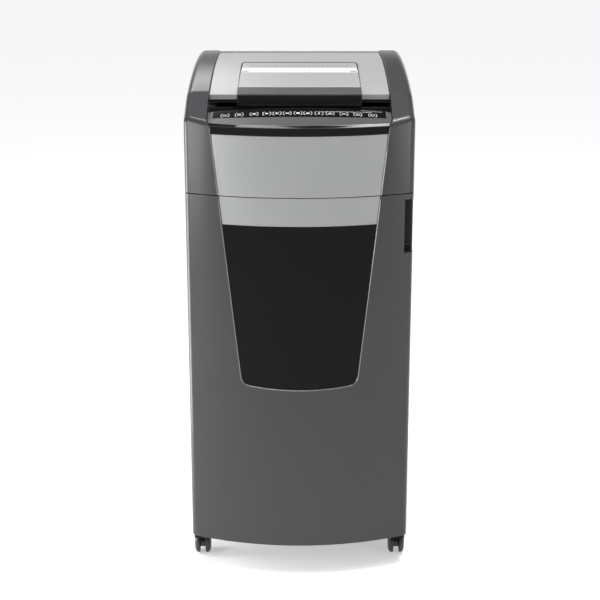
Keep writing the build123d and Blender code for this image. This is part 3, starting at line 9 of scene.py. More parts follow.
import bmesh
import bpy
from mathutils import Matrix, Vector
from mathutils.bvhtree import BVHTree


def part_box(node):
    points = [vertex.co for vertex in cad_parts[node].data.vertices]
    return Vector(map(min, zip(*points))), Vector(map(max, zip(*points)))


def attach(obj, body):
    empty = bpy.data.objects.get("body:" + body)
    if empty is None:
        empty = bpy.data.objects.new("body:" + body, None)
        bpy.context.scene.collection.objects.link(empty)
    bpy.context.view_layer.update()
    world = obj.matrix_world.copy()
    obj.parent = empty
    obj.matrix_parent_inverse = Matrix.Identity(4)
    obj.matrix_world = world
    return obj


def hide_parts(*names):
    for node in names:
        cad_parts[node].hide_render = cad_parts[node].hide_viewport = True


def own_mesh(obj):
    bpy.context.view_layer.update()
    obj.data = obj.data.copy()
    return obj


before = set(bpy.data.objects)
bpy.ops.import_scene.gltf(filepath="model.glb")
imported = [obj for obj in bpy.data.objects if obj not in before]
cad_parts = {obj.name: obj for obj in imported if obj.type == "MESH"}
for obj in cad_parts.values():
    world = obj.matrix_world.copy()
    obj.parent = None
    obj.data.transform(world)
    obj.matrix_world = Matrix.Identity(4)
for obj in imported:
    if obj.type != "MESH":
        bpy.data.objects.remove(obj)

logging.basicConfig(level=logging.INFO, format="%(message)s")
LOG = logging.getLogger("paper_shredder")
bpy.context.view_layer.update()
MM = 0.001
MICRON = 0.000001
UPWARD = (0.0, 0.0, 1.0)
REARWARD = (0.0, 1.0, 0.0)
WHITE = (1.0, 1.0, 1.0, 1.0)

Point2 = tuple[float, float]
Point3 = tuple[float, float, float]
Colour = tuple[float, float, float]
Surface = Callable[[float, float], float]
Inputs = dict[str | int, object]


class Body(StrEnum):
    """Moving bodies that pieces ride on."""

    HOUSING = "housing"
    LID = "lid"
    PAD = "pad"
    DOOR = "door"
    ROCKER = "rocker"


class Slot(StrEnum):
    """Finish slots of the record; pieces pass them to seat, and their finishes are given directly."""

    PANEL = "panel_grey"
    SHELL = "shell_grey"
    SILVER = "silver"
    WINDOW = "smoked_window"
    CONTROL = "control_black"
    BLACK = "black_plastic"
    STEEL = "steel_plate"
    HOOD = "castor_hood"
    TREAD = "castor_tread"


class Glyph(Enum):
    """Generic pictograms of the control strip, from left to right."""

    POWER = auto()
    SHEET = auto()
    STACK = auto()
    FORWARD = auto()
    PAUSE = auto()
    REVERSE = auto()
    STOP = auto()
    LOCK = auto()
    WARM = auto()
    ALERT = auto()
    JAM = auto()
    DOOR = auto()
    BIN = auto()


class TreeMaker:
    """Adds and joins the nodes of one node tree."""

    def __init__(self, tree: bpy.types.NodeTree) -> None:
        """Keeps the tree that the nodes go into."""
        self.tree = tree

    def add(self, kind: str, values: Inputs | None = None, **settings: object) -> bpy.types.Node:
        """Adds one node.

        Args:
            kind: Blender's name of the node type.
            values: what the inputs take, as in feed.
            settings: plain properties of the node.

        Returns:
            The new node.
        """
        node = self.tree.nodes.new(kind)
        for key, value in settings.items():
            setattr(node, key, value)
        self.feed(node, values or {})
        return node

    def feed(self, node: bpy.types.Node, values: Inputs) -> None:
        """Gives inputs of a node their plain values and links.

        Args:
            node: node that takes them.
            values: a plain value, a socket or a list of sockets for each input, by name or index.
        """
        for key, value in values.items():
            for source in value if isinstance(value, list) else [value]:
                if isinstance(source, bpy.types.NodeSocket):
                    self.tree.links.new(source, node.inputs[key])
                else:
                    node.inputs[key].default_value = source

    def math(self, operation: str, *terms: object) -> bpy.types.NodeSocket:
        """Adds a math node for sockets or plain numbers and gives its result."""
        return self.add("ShaderNodeMath", dict(enumerate(terms)), operation=operation).outputs[0]

    def times(self, first: object, second: object) -> bpy.types.NodeSocket:
        """Multiplies sockets or plain numbers."""
        return self.math("MULTIPLY", first, second)

    def mix(self, blend: str, share: object, first: object, second: object) -> bpy.types.NodeSocket:
        """Mixes two colours.

        Args:
            blend: name of the way of mixing.
            share: how far the second colour works on the first.
            first: socket or colour.
            second: socket or colour.

        Returns:
            The mixed colour.
        """
        colours = {0: share, 6: first, 7: second}
        return self.add("ShaderNodeMix", colours, data_type="RGBA", blend_type=blend).outputs[2]

    def swing(self, around: bpy.types.NodeSocket, amount: object) -> bpy.types.NodeSocket:
        """Turns a value round one half into a deviation round zero of the given strength."""
        return self.times(self.math("SUBTRACT", around, 0.5), amount)


SOCKET_KINDS = {
    "Vector": "Vector", "Run": "Vector", "Color": "Color", "Sides": "Int", "Material": "Material",
    "Geometry": "Geometry",
}
Group = tuple[TreeMaker, bpy.types.bpy_prop_collection, bpy.types.Node]


def open_group(name: str, kind: str, inputs: Sequence[str], outputs: Sequence[str]) -> Group:
    """Starts a node group whose sockets take their type from their name, or else are plain numbers.

    Args:
        name: name of the group.
        kind: Blender's name of the tree type.
        inputs: names of the input sockets.
        outputs: names of the output sockets.

    Returns:
        The maker of the tree, the sockets that it is given and the node that takes its results.
    """
    tree = bpy.data.node_groups.new(name, kind)
    for side, labels in (("INPUT", inputs), ("OUTPUT", outputs)):
        for label in labels:
            socket = f"NodeSocket{SOCKET_KINDS.get(label, 'Float')}"
            tree.interface.new_socket(label, in_out=side, socket_type=socket)
    maker = TreeMaker(tree)
    return maker, maker.add("NodeGroupInput").outputs, maker.add("NodeGroupOutput")


class Effects:
    """Shader node groups that several finishes share."""

    patch_tone = 0.5
    patch_gloss = 0.6
    line_stretch = (0.02, 1.0, 1.0)
    # Tone and gloss of the paler edges: partly rubbing, partly a painted highlight.
    rubbed_highlight_tone = (0.55, 0.55, 0.56, 1.0)
    rubbed_highlight_gloss = 0.5

    def __init__(self) -> None:
        """Builds the groups once."""
        self.grain = self._grain()
        self.fleck = self._fleck()
        self.handling = self._handling()
        self.brushed = self._brushed()
        self.wear_and_highlight = self._wear_and_highlight()

    @staticmethod
    def _open(
        name: str, inputs: Sequence[str], outputs: Sequence[str]
    ) -> tuple[TreeMaker, Inputs, bpy.types.Node]:
        """Starts a shader group that reads a place, and gives its maker, inputs by name and result node."""
        maker, given, result = open_group(name, "ShaderNodeTree", ("Vector", *inputs), outputs)
        return maker, {label: given[label] for label in ("Vector", *inputs)}, result

    def _grain(self) -> bpy.types.NodeTree:
        """Fine pebbled texture of a moulded or powder coated surface.

        Returns:
            The group.
        """
        maker, given, result = self._open("moulded_grain", ("Scale", "Depth"), ("Height",))
        depth = given.pop("Depth")
        soft = maker.add("ShaderNodeTexNoise", {**given, "Detail": 2.0, "Roughness": 0.6})
        cells = maker.add("ShaderNodeTexVoronoi", given, feature="SMOOTH_F1")
        both = maker.math("ADD", soft.outputs[0], cells.outputs["Distance"])
        maker.feed(result, {"Height": maker.times(both, depth)})
        return maker.tree

    def _fleck(self) -> bpy.types.NodeTree:
        """Tiny lighter and darker grains, as in metallic paint and tinted plastic.

        Returns:
            The group.
        """
        maker, given, result = self._open("paint_fleck", ("Scale", "Amount", "Color"), ("Color",))
        amount, colour = given.pop("Amount"), given.pop("Color")
        cells = maker.add("ShaderNodeTexVoronoi", given, feature="F1")
        split = maker.add("ShaderNodeSeparateColor", {0: cells.outputs["Color"]})
        shade = maker.math("ADD", maker.swing(split.outputs[0], amount), 1.0)
        maker.feed(result, {"Color": maker.mix("MULTIPLY", 1.0, colour, shade)})
        return maker.tree

    def _handling(self) -> bpy.types.NodeTree:
        """Broad, faint patches of dust and wiping that change tone and gloss.

        Returns:
            The group.
        """
        maker, given, result = self._open(
            "handling_marks", ("Scale", "Amount", "Color", "Roughness"), ("Color", "Roughness")
        )
        amount, colour, roughness = given.pop("Amount"), given.pop("Color"), given.pop("Roughness")
        patches = maker.add(
            "ShaderNodeTexNoise", {**given, "Detail": 5.0, "Roughness": 0.62, "Distortion": 0.4}
        )
        swing = maker.swing(patches.outputs[0], amount)
        shade = maker.math("ADD", maker.times(swing, self.patch_tone), 1.0)
        maker.feed(result, {
            "Color": maker.mix("MULTIPLY", 1.0, colour, shade),
            "Roughness": maker.math("ADD", roughness, maker.times(swing, self.patch_gloss)),
        })
        return maker.tree

    def _brushed(self) -> bpy.types.NodeTree:
        """Long scratches of rolled or ground metal, along the vector's first axis.

        Returns:
            The group.
        """
        maker, given, result = self._open("rolled_lines", ("Scale", "Depth"), ("Height",))
        stretch = maker.add("ShaderNodeMapping", {"Vector": given["Vector"], "Scale": self.line_stretch})
        lines = maker.add("ShaderNodeTexNoise", {
            "Vector": stretch.outputs[0], "Scale": given["Scale"], "Detail": 3.0, "Roughness": 0.7,
        })
        maker.feed(result, {"Height": maker.times(lines.outputs[0], given["Depth"])})
        return maker.tree

    def _wear_and_highlight(self) -> bpy.types.NodeTree:
        """Edges paler and smoother from rubbing and a painted highlight, where the edge mask and a broken
        noise meet.

        Returns:
            The group.
        """
        maker, given, result = self._open(
            "edge_wear_and_highlight", ("Edge", "Amount", "Color", "Roughness"), ("Color", "Roughness")
        )
        breaks = maker.add("ShaderNodeTexNoise", {
            "Vector": given["Vector"], "Scale": 60.0, "Detail": 4.0, "Roughness": 0.65,
        })
        rubbed_and_lit = maker.times(maker.times(given["Edge"], breaks.outputs[0]), given["Amount"])
        maker.feed(result, {
            "Color": maker.mix("SCREEN", rubbed_and_lit, given["Color"], self.rubbed_highlight_tone),
            "Roughness": maker.math("SUBTRACT", given["Roughness"], maker.times(rubbed_and_lit, self.rubbed_highlight_gloss)),
        })
        return maker.tree


EFFECTS = Effects()
EDGE_MASK = "edge"
MARKS_SCALE = 7.0
COAT_ROUGHNESS = 0.06
MATERIALS: dict[str, bpy.types.Material] = {}


@dataclass(frozen=True)
class Finish:
    """One surface finish: plain shader values and the strength of each shared effect.

    Args:
        name: name of the material.
        colour: linear base colour.
        roughness: mean roughness.
        metallic: share of metal.
        coat: weight of a clear coat.
        specular: specular level.
        fleck: strength of the small grains of colour.
        fleck_scale: grains per metre.
        grain: height of the moulded texture, in microns.
        grain_scale: pebbles per metre.
        marks: strength of the broad patches.
        lines: height of rolled lines, in microns; above 0 they replace the moulded texture.
        wear_and_highlight: strength of the paler edges, partly from rubbing and partly a painted highlight.
    """

    name: str
    colour: Colour
    roughness: float
    metallic: float = 0.0
    coat: float = 0.0
    specular: float = 0.5
    fleck: float = 0.1
    fleck_scale: float = 1500.0
    grain: float = 30.0
    grain_scale: float = 1400.0
    marks: float = 0.12
    lines: float = 0.0
    wear_and_highlight: float = 0.12

    def material(self) -> bpy.types.Material:
        """Makes the material once.

        Returns:
            The material, which is the one made before where there is one.
        """
        if self.name in MATERIALS:
            return MATERIALS[self.name]
        made = MATERIALS[self.name] = bpy.data.materials.new(self.name)
        made.use_nodes = True
        made.diffuse_color = (*self.colour, 1.0)
        maker = TreeMaker(made.node_tree)
        place = maker.add("ShaderNodeTexCoord").outputs["Object"]

        def effect(tree: bpy.types.NodeTree, **values: object) -> bpy.types.bpy_prop_collection:
            """Places a shared effect with its values and gives its results."""
            return maker.add("ShaderNodeGroup", {"Vector": place, **values}, node_tree=tree).outputs

        fleck = effect(EFFECTS.fleck, Scale=self.fleck_scale, Amount=self.fleck, Color=(*self.colour, 1.0))
        marks = effect(
            EFFECTS.handling,
            Scale=MARKS_SCALE, Amount=self.marks, Color=fleck["Color"], Roughness=self.roughness,
        )
        # Bevel faces made paler and smoother: rubbing and a painted edge highlight.
        mask = maker.add("ShaderNodeAttribute", attribute_name=EDGE_MASK).outputs["Fac"]
        worn_and_lit = effect(
            EFFECTS.wear_and_highlight, Edge=mask, Amount=self.wear_and_highlight, Color=marks["Color"], Roughness=marks["Roughness"]
        )
        texture = effect(
            EFFECTS.brushed if self.lines else EFFECTS.grain,
            Scale=self.grain_scale, Depth=(self.lines or self.grain) * MICRON,
        )
        bump = maker.add("ShaderNodeBump", {"Strength": 1.0, "Distance": 1.0, "Height": texture["Height"]})
        maker.feed(made.node_tree.nodes["Principled BSDF"], {
            "Base Color": worn_and_lit["Color"], "Roughness": worn_and_lit["Roughness"], "Normal": bump.outputs[0],
            "Metallic": self.metallic, "Specular IOR Level": self.specular,
            "Coat Weight": self.coat, "Coat Roughness": COAT_ROUGHNESS,
        })
        return made


SILVER = Finish("silver_satin", (0.424, 0.429, 0.434), 0.35, metallic=0.2, fleck=0.16, grain=8)
# Darker copy of the lid's silver for the front-facing fascia and door trim: painted shade.
FASCIA_SHADED = Finish("silver_fascia_shaded", (0.388, 0.393, 0.398), 0.35, metallic=0.2, fleck=0.16, grain=8)
# Paler silver for the level strip's raised lip: a painted highlight.
SILVER_LIP_HIGHLIGHT = Finish("silver_lip_highlight", (0.70, 0.705, 0.71), 0.38, metallic=0.05, grain=10)
CHARCOAL = Finish("charcoal_satin", (0.049, 0.05, 0.0525), 0.25, specular=0.38, fleck=0.12, grain=8)
# Paler, metallic copy of the charcoal for the inset's rim: a painted highlight along its rounded edge.
RIM_HIGHLIGHT = Finish("charcoal_rim_highlight", (0.2, 0.202, 0.206), 0.22, metallic=0.8, fleck=0.05, grain=2)
PANEL = Finish("charcoal_panel", (0.065, 0.066, 0.069), 0.41, fleck=0.22, grain=40, grain_scale=900)
BEZEL = Finish("bezel_grey", (0.085, 0.086, 0.089), 0.29, specular=0.3, fleck=0.12, grain=6)
WINDOW = Finish("window_smoke", (0.0105, 0.0105, 0.011), 0.12, specular=0.065, fleck=0, grain=0, marks=0.03)
GLOSS = Finish("gloss_black", (0.012, 0.012, 0.0124), 0.11, specular=0.07, fleck=0.02, grain=2, marks=0.05)
POLISH = Finish("gloss_edge", (0.008, 0.008, 0.0085), 0.08, coat=0.8, fleck=0.02, grain=2, marks=0.05)
INLAY = Finish("inlay_black", (0.005, 0.005, 0.0054), 0.12, specular=0.06, fleck=0.05, grain=2, marks=0.05)
BLACK = Finish("black_moulded", (0.026, 0.026, 0.0265), 0.5, specular=0.12, grain=50, grain_scale=1100)
GRIP = Finish("black_grip", (0.0175, 0.0175, 0.018), 0.35, specular=0.04, fleck=0.08, grain_scale=1300)
MARK = Finish("white_print", (0.74, 0.74, 0.74), 0.5, fleck=0.03, grain=10, marks=0.06)
# Grey print of the lid's ticks, also used for the beads painted as highlights on the inlay's end edges.
TICK_AND_HIGHLIGHT = Finish("grey_print_and_highlight", (0.2, 0.2, 0.205), 0.5, fleck=0.03, grain=10, marks=0.06)
LENS = Finish("smoked_lens", (0.1, 0.1, 0.105), 0.18, fleck=0.02, grain=2, marks=0.08)
ZINC = Finish("zinc_sheet", (0.56, 0.57, 0.58), 0.36, metallic=0.95, fleck=0.12, lines=40, grain_scale=500)
BLACK_ZINC = Finish(
    "black_zinc", (0.03, 0.03, 0.031), 0.4, metallic=0.5, fleck=0.12, lines=40, grain_scale=500
)
CUTTER = Finish("hardened_steel", (0.4, 0.4, 0.41), 0.33, metallic=1, fleck=0.2, lines=50, grain_scale=900)
GEAR = Finish("sintered_steel", (0.42, 0.41, 0.39), 0.45, metallic=0.95, fleck=0.35, fleck_scale=2600)
BRASS = Finish("sintered_bronze", (0.6, 0.43, 0.2), 0.4, metallic=0.95, fleck=0.2)
IRON = Finish(
    "motor_laminations", (0.15, 0.15, 0.155), 0.5, metallic=0.7, fleck=0.2, lines=80, grain_scale=700
)
RUBBER = Finish("black_rubber", (0.017, 0.017, 0.017), 0.72, specular=0.3, fleck=0.15, grain=80)
BOARD = Finish("green_laminate", (0.025, 0.13, 0.05), 0.42, coat=0.2, fleck=0.25, fleck_scale=700)
NYLON = Finish("black_nylon", (0.034, 0.034, 0.0355), 0.4, grain=50)
TREAD = Finish("wheel_nylon", (0.03, 0.03, 0.032), 0.42, fleck=0.12, grain=50, marks=0.3)


def mesh_object(
    name: str, points: Sequence[Sequence[float]], faces: Sequence[Sequence[int]],
    edges: Sequence[tuple[int, int]] = (),
) -> bpy.types.Object:
    """Makes an object from points and faces in the shared frame.

    Args:
        name: name of the piece.
        points: corner points, in metres.
        faces: point indices of each face, outwards.
        edges: point indices of edges without a face.

    Returns:
        The new object, linked to the scene.
    """
    mesh = bpy.data.meshes.new(name)
    mesh.from_pydata([tuple(p) for p in points], list(edges), [tuple(f) for f in faces])
    mesh.update()
    piece = bpy.data.objects.new(name, mesh)
    bpy.context.scene.collection.objects.link(piece)
    return piece


@contextmanager
def reshaped(piece: bpy.types.Object) -> Iterator[bmesh.types.BMesh]:
    """Opens the mesh of a piece for edits and writes them back.

    Args:
        piece: object whose mesh is edited.

    Yields:
        The open mesh.
    """
    form = bmesh.new()
    form.from_mesh(piece.data)
    yield form
    form.to_mesh(piece.data)
    form.free()


def take_up(piece: bpy.types.Object) -> bpy.types.Mesh:
    """Turns the modifiers of a piece into a plain mesh.

    Args:
        piece: object whose modifiers are taken up.

    Returns:
        The new mesh of the object.
    """
    graph = bpy.context.evaluated_depsgraph_get()
    graph.update()
    mesh = bpy.data.meshes.new_from_object(piece.evaluated_get(graph), depsgraph=graph)
    piece.modifiers.clear()
    old = piece.data
    piece.data = mesh
    bpy.data.meshes.remove(old)
    mesh.name = piece.name
    return mesh


def settle(piece: bpy.types.Object, sharp: float = 34.0) -> bpy.types.Object:
    """Turns the modifiers of a piece into a smooth-shaded mesh whose flat faces stay flat.

    Args:
        piece: object whose modifiers are taken up.
        sharp: angle in degrees above which an edge stays sharp.

    Returns:
        The same object.
    """
    mesh = take_up(piece)
    mesh.shade_smooth()
    mesh.set_sharp_from_angle(angle=math.radians(sharp))
    even = piece.modifiers.new("even_faces", "WEIGHTED_NORMAL")
    even.keep_sharp = True
    take_up(piece)
    return piece


def round_edges(
    piece: bpy.types.Object, width: float, segments: int = 2, crease: float = 32.0
) -> bpy.types.Object:
    """Rounds the sharp edges of a piece, settles it and masks the roundings for the rubbing and painted
    highlight of its finish.

    Args:
        piece: closed mesh object.
        width: size of the rounding, in metres.
        segments: steps across each rounding.
        crease: smallest angle in degrees that counts as an edge.

    Returns:
        The same object.
    """
    for _ in range(2):
        piece.data.materials.append(None)
    bevel = piece.modifiers.new("rounding", "BEVEL")
    bevel.width = width
    bevel.segments = segments
    bevel.limit_method = "ANGLE"
    bevel.angle_limit = math.radians(crease)
    bevel.use_clamp_overlap = True
    bevel.harden_normals = False
    bevel.material = 1
    settle(piece)
    mask = piece.data.attributes.new(EDGE_MASK, "FLOAT", "FACE")
    for item, face in zip(mask.data, piece.data.polygons):
        item.value = face.material_index
        face.material_index = 0
    return piece


WELD = 0.002 * MM
FLAT = math.radians(0.2)


def merged_copy(node: str) -> bpy.types.Object:
    """Copies a CAD node into a new merged mesh with its flat faces made whole.

    Args:
        node: name of the CAD node.

    Returns:
        The copy.
    """
    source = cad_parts[node].data
    points, faces = [v.co for v in source.vertices], [p.vertices for p in source.polygons]
    piece = mesh_object(f"{node}_skin", points, faces)
    with reshaped(piece) as form:
        bmesh.ops.remove_doubles(form, verts=form.verts, dist=WELD)
        bmesh.ops.dissolve_limit(form, angle_limit=FLAT, verts=form.verts, edges=form.edges)
    return piece


def split_copy(node: str, place: Point3, normal: Point3) -> bpy.types.Object:
    """Copies a CAD node and divides its faces along a plane, so that they can take two finishes.

    Args:
        node: name of the CAD node.
        place: a point of the plane.
        normal: direction square to the plane.

    Returns:
        The copy.
    """
    piece = merged_copy(node)
    with reshaped(piece) as form:
        whole = form.verts[:] + form.edges[:] + form.faces[:]
        bmesh.ops.bisect_plane(form, geom=whole, plane_co=place, plane_no=normal)
    return piece


def dress(piece: bpy.types.Object, *finishes: Finish) -> bpy.types.Object:
    """Gives a piece its finishes, one for each material index.

    Args:
        piece: object to dress.
        finishes: finishes in slot order.

    Returns:
        The same object.
    """
    piece.data.materials.clear()
    for finish in finishes:
        piece.data.materials.append(finish.material())
    return piece


def dress_nodes(finish: Finish, *nodes: str) -> None:
    """Gives CAD nodes that stay as they are a finish.

    Args:
        finish: finish of the nodes.
        nodes: names of the CAD nodes.
    """
    for node in nodes:
        dress(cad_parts[node], finish)
        LOG.info("node %s dressed as %s", node, finish.name)


def seat(piece: bpy.types.Object, body: str, slot: Slot, *nodes: str) -> None:
    """Lets a finished piece ride on its body and logs it.

    Args:
        piece: finished object.
        body: name of the CAD body.
        slot: finish slot of the record; not used.
        nodes: CAD nodes that the piece stands for.
    """
    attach(piece, body)
    if nodes:
        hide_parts(*nodes)
    LOG.info("piece %s on %s, %d faces", piece.name, body, len(piece.data.polygons))


def rounded_node(
    node: str, body: str, slot: Slot, finish: Finish, width: float, segments: int = 2, crease: float = 32.0
) -> None:
    """Stands a copy with rounded edges in the place of a CAD node.

    Args:
        node: name of the CAD node.
        body: body that the node belongs to.
        slot: finish slot of the record.
        finish: finish of the copy.
        width: size of the rounding, in metres.
        segments: steps across each rounding.
        crease: smallest angle in degrees that counts as an edge.
    """
    piece = round_edges(merged_copy(node), width, segments, crease)
    seat(dress(piece, finish), body, slot, node)


BOW_CENTRE = 230 * MM


@dataclass(frozen=True)
class Inset:
    """Sunk middle of the bowed front, whose edge on the charcoal shells is a wider, smoother rim, finished
    paler and metallic as a painted highlight.

    Args:
        half: largest distance of its sides from the middle.
        top: height above which the rim ends.
        rim: size of the rim's rounding.
        edge: size of the other roundings of the shell.
        bow_reach: distance from the middle of the front's bow beyond which an edge is outermost.
        frontal: smallest part of a front face's normal that points to the front.
        sideways: largest part of a wall's normal that points to the front or rear.
        inward: smallest part of a wall's normal that points into the inset.
    """

    half: float
    top: float
    rim: float
    edge: float
    bow_reach: float = 529 * MM
    frontal: float = 0.8
    sideways: float = 0.6
    inward: float = 0.5

    def borders(self, edge: bmesh.types.BMEdge) -> bool:
        """Tells whether an edge runs where the bowed front turns into the sides or the foot of the inset.

        Args:
            edge: edge of a door or cheek.

        Returns:
            Whether it is such an edge.
        """
        middle = (edge.verts[0].co + edge.verts[1].co) / 2
        outermost = math.hypot(middle.x, BOW_CENTRE - middle.y) > self.bow_reach
        if len(edge.link_faces) != 2 or abs(middle.x) > self.half or middle.z > self.top or not outermost:
            return False
        front, wall = sorted((face.normal for face in edge.link_faces), key=lambda normal: normal.y)
        inwards = max(-wall.x * math.copysign(1.0, middle.x), wall.z) > self.inward
        return front.y < -self.frontal and abs(wall.y) < self.sideways and inwards

    def rimmed_node(self, node: str, body: Body) -> None:
        """Stands a rounded copy with the rim, whose faces take a paler metallic finish as a painted
        highlight, in the place of a charcoal shell.

        Args:
            node: name of the CAD node.
            body: body that the node belongs to.
        """
        piece = merged_copy(node)
        with reshaped(piece) as form:
            mark = form.faces.layers.int.new("rim")
            edges = [edge for edge in form.edges if self.borders(edge)]
            made = bmesh.ops.bevel(
                form, geom=edges, affect="EDGES", offset=self.rim, segments=3, profile=0.5,
                clamp_overlap=False,
            )
            for face in made["faces"]:
                face[mark] = 1
        # The rim's faces take the paler metallic finish: a painted highlight on the inset's rounded edge.
        dress(round_edges(piece, self.edge, segments=3), CHARCOAL, RIM_HIGHLIGHT)
        for face, item in zip(piece.data.polygons, piece.data.attributes["rim"].data):
            face.material_index = item.value
        LOG.info("rim of %s: %d edges", node, len(edges))
        seat(piece, body, Slot.SHELL, node)


class Pattern:
    """Geometry Nodes tree that makes what repeats or follows a path."""

    def __init__(self, name: str, *sizes: str) -> None:
        """Starts a tree.

        Args:
            name: name of the tree.
            sizes: names of its inputs, beside the points and the material.
        """
        inputs = ("Geometry", *sizes, "Material")
        self.maker, self.given, self.result = open_group(name, "GeometryNodeTree", inputs, ("Geometry",))

    def sweep(self, path: bpy.types.NodeSocket, section: bpy.types.NodeSocket) -> bpy.types.NodeSocket:
        """Runs a closed section along a path, with closed ends."""
        curves = {"Curve": path, "Profile Curve": section, "Fill Caps": True}
        return self.maker.add("GeometryNodeCurveToMesh", curves).outputs[0]

    def spread(self, shape: bpy.types.NodeSocket, **turn: bpy.types.NodeSocket) -> None:
        """Sets a shape on each point and ends the tree."""
        places = {"Points": self.given["Geometry"], "Instance": shape, **turn}
        self.close(self.maker.add("GeometryNodeInstanceOnPoints", places).outputs[0])

    def close(self, shapes: bpy.types.NodeSocket) -> None:
        """Ends the tree in real faces with a material.

        Args:
            shapes: socket with the finished shapes.
        """
        real = self.maker.add("GeometryNodeRealizeInstances", {0: shapes}).outputs[0]
        painted = {"Geometry": real, "Material": self.given["Material"]}
        self.maker.feed(self.result, {0: self.maker.add("GeometryNodeSetMaterial", painted).outputs[0]})

    def make(
        self, name: str, points: Sequence[Point3], finish: Finish, sizes: dict[str, object],
        facing: Point3 = UPWARD, path: bool = False,
    ) -> bpy.types.Object:
        """Runs the tree on points.

        Args:
            name: name of the piece.
            points: places of the repeated shape, or points of the path.
            finish: finish of the piece.
            sizes: values of the named inputs.
            facing: outward direction at the points.
            path: whether edges join the points in order.

        Returns:
            The piece as a plain mesh.
        """
        links = [(i, i + 1) for i in range(len(points) - 1)] if path else []
        piece = mesh_object(name, points, [], links)
        aim = piece.data.attributes.new("facing", "FLOAT_VECTOR", "POINT")
        for item in aim.data:
            item.vector = facing
        modifier = piece.modifiers.new("pattern", "NODES")
        modifier.node_group = self.maker.tree
        values = {**sizes, "Material": finish.material()}
        for item in self.maker.tree.interface.items_tree:
            if item.in_out == "INPUT" and item.name in values:
                modifier[item.identifier] = values[item.name]
        return dress(settle(piece), finish)


class ScrewPattern(Pattern):
    """Pan head screws with a cross recess, one on each point."""

    sides = 20
    crown_share = 0.72
    recess_length = 1.1
    recess_lift = 0.95

    def __init__(self) -> None:
        """Builds the tree."""
        super().__init__("screw_set", "Head Radius", "Head Height", "Recess Width")
        add, times = self.maker.add, self.maker.times
        radius, height = self.given["Head Radius"], self.given["Head Height"]
        recess = self.given["Recess Width"]
        rim = add("GeometryNodeMeshCylinder", {"Vertices": self.sides, "Radius": radius, "Depth": height})
        crown = add("GeometryNodeMeshCone", {
            "Vertices": self.sides, "Side Segments": 1, "Radius Bottom": radius,
            "Radius Top": times(radius, self.crown_share), "Depth": times(height, 0.5),
        })
        solids = [rim.outputs["Mesh"], self._lifted(crown, times(height, 0.5))]
        head = add("GeometryNodeMeshBoolean", {"Mesh 2": solids}, operation="UNION", solver="EXACT")
        length = times(radius, self.recess_length)
        bars = []
        for across, along in ((length, recess), (recess, length)):
            size = add("ShaderNodeCombineXYZ", {0: across, 1: along, 2: height})
            bar = add("GeometryNodeMeshCube", {"Size": size.outputs[0]})
            bars.append(self._lifted(bar, times(height, self.recess_lift)))
        solids = {"Mesh 1": head.outputs["Mesh"], "Mesh 2": bars}
        cut = add("GeometryNodeMeshBoolean", solids, operation="DIFFERENCE", solver="EXACT")
        aim = add("GeometryNodeInputNamedAttribute", {"Name": "facing"}, data_type="FLOAT_VECTOR")
        turn = add("FunctionNodeAlignRotationToVector", {"Vector": aim.outputs["Attribute"]}, axis="Z")
        self.spread(cut.outputs["Mesh"], Rotation=turn.outputs[0])

    def _lifted(self, shape: bpy.types.Node, lift: bpy.types.NodeSocket) -> bpy.types.NodeSocket:
        """Raises a shape.

        Args:
            shape: node that makes the shape.
            lift: distance that it is raised by.

        Returns:
            The raised shape.
        """
        way = self.maker.add("ShaderNodeCombineXYZ", {2: lift}).outputs[0]
        moved = {"Geometry": shape.outputs["Mesh"], "Translation": way}
        return self.maker.add("GeometryNodeTransform", moved).outputs[0]


class RibPattern(Pattern):
    """Straight ribs with rounded edges, one on each point."""

    def __init__(self) -> None:
        """Builds the tree."""
        super().__init__("rib_row", "Run", "Width", "Height", "Rounding")
        add, given = self.maker.add, self.given
        ends = {}
        for socket, share in (("Start", -0.5), ("End", 0.5)):
            scaled = add("ShaderNodeVectorMath", {0: given["Run"], "Scale": share}, operation="SCALE")
            ends[socket] = scaled.outputs[0]
        path = add("GeometryNodeCurvePrimitiveLine", ends)
        size = {label: given[label] for label in ("Width", "Height")}
        section = add("GeometryNodeCurvePrimitiveQuadrilateral", size)
        corners = {"Curve": section.outputs[0], "Count": 2, "Radius": given["Rounding"]}
        soft = add("GeometryNodeFilletCurve", corners, mode="POLY")
        self.spread(self.sweep(path.outputs[0], soft.outputs[0]))


class BeadPattern(Pattern):
    """Round bead that follows a path."""

    def __init__(self) -> None:
        """Builds the tree."""
        super().__init__("bead_run", "Radius", "Sides")
        path = self.maker.add("GeometryNodeMeshToCurve", {"Mesh": self.given["Geometry"]})
        circle = {"Resolution": self.given["Sides"], "Radius": self.given["Radius"]}
        section = self.maker.add("GeometryNodeCurvePrimitiveCircle", circle, mode="RADIUS")
        self.close(self.sweep(path.outputs[0], section.outputs[0]))


SCREWS = ScrewPattern()
RIBS = RibPattern()
BEADS = BeadPattern()
SCREW_RADIUS = 2.8 * MM
SCREW_HEIGHT = 0.45 * SCREW_RADIUS
SCREW_RECESS = 0.28 * SCREW_RADIUS
SCREW_PROUD = 0.06 * MM
BEAD_SIDES = 10


def rear_screws(name: str, places: Sequence[Point3]) -> None:
    """Sinks a group of screws into the back of the housing, with their crowns just proud of it.

    Args:
        name: name of the piece.
        places: centres of the heads on the face.
    """
    sunk = [(x, y + SCREW_PROUD - SCREW_HEIGHT, z) for x, y, z in places]
    sizes = {"Head Radius": SCREW_RADIUS, "Head Height": SCREW_HEIGHT, "Recess Width": SCREW_RECESS}
    seat(SCREWS.make(name, sunk, ZINC, sizes, REARWARD), Body.HOUSING, Slot.STEEL)


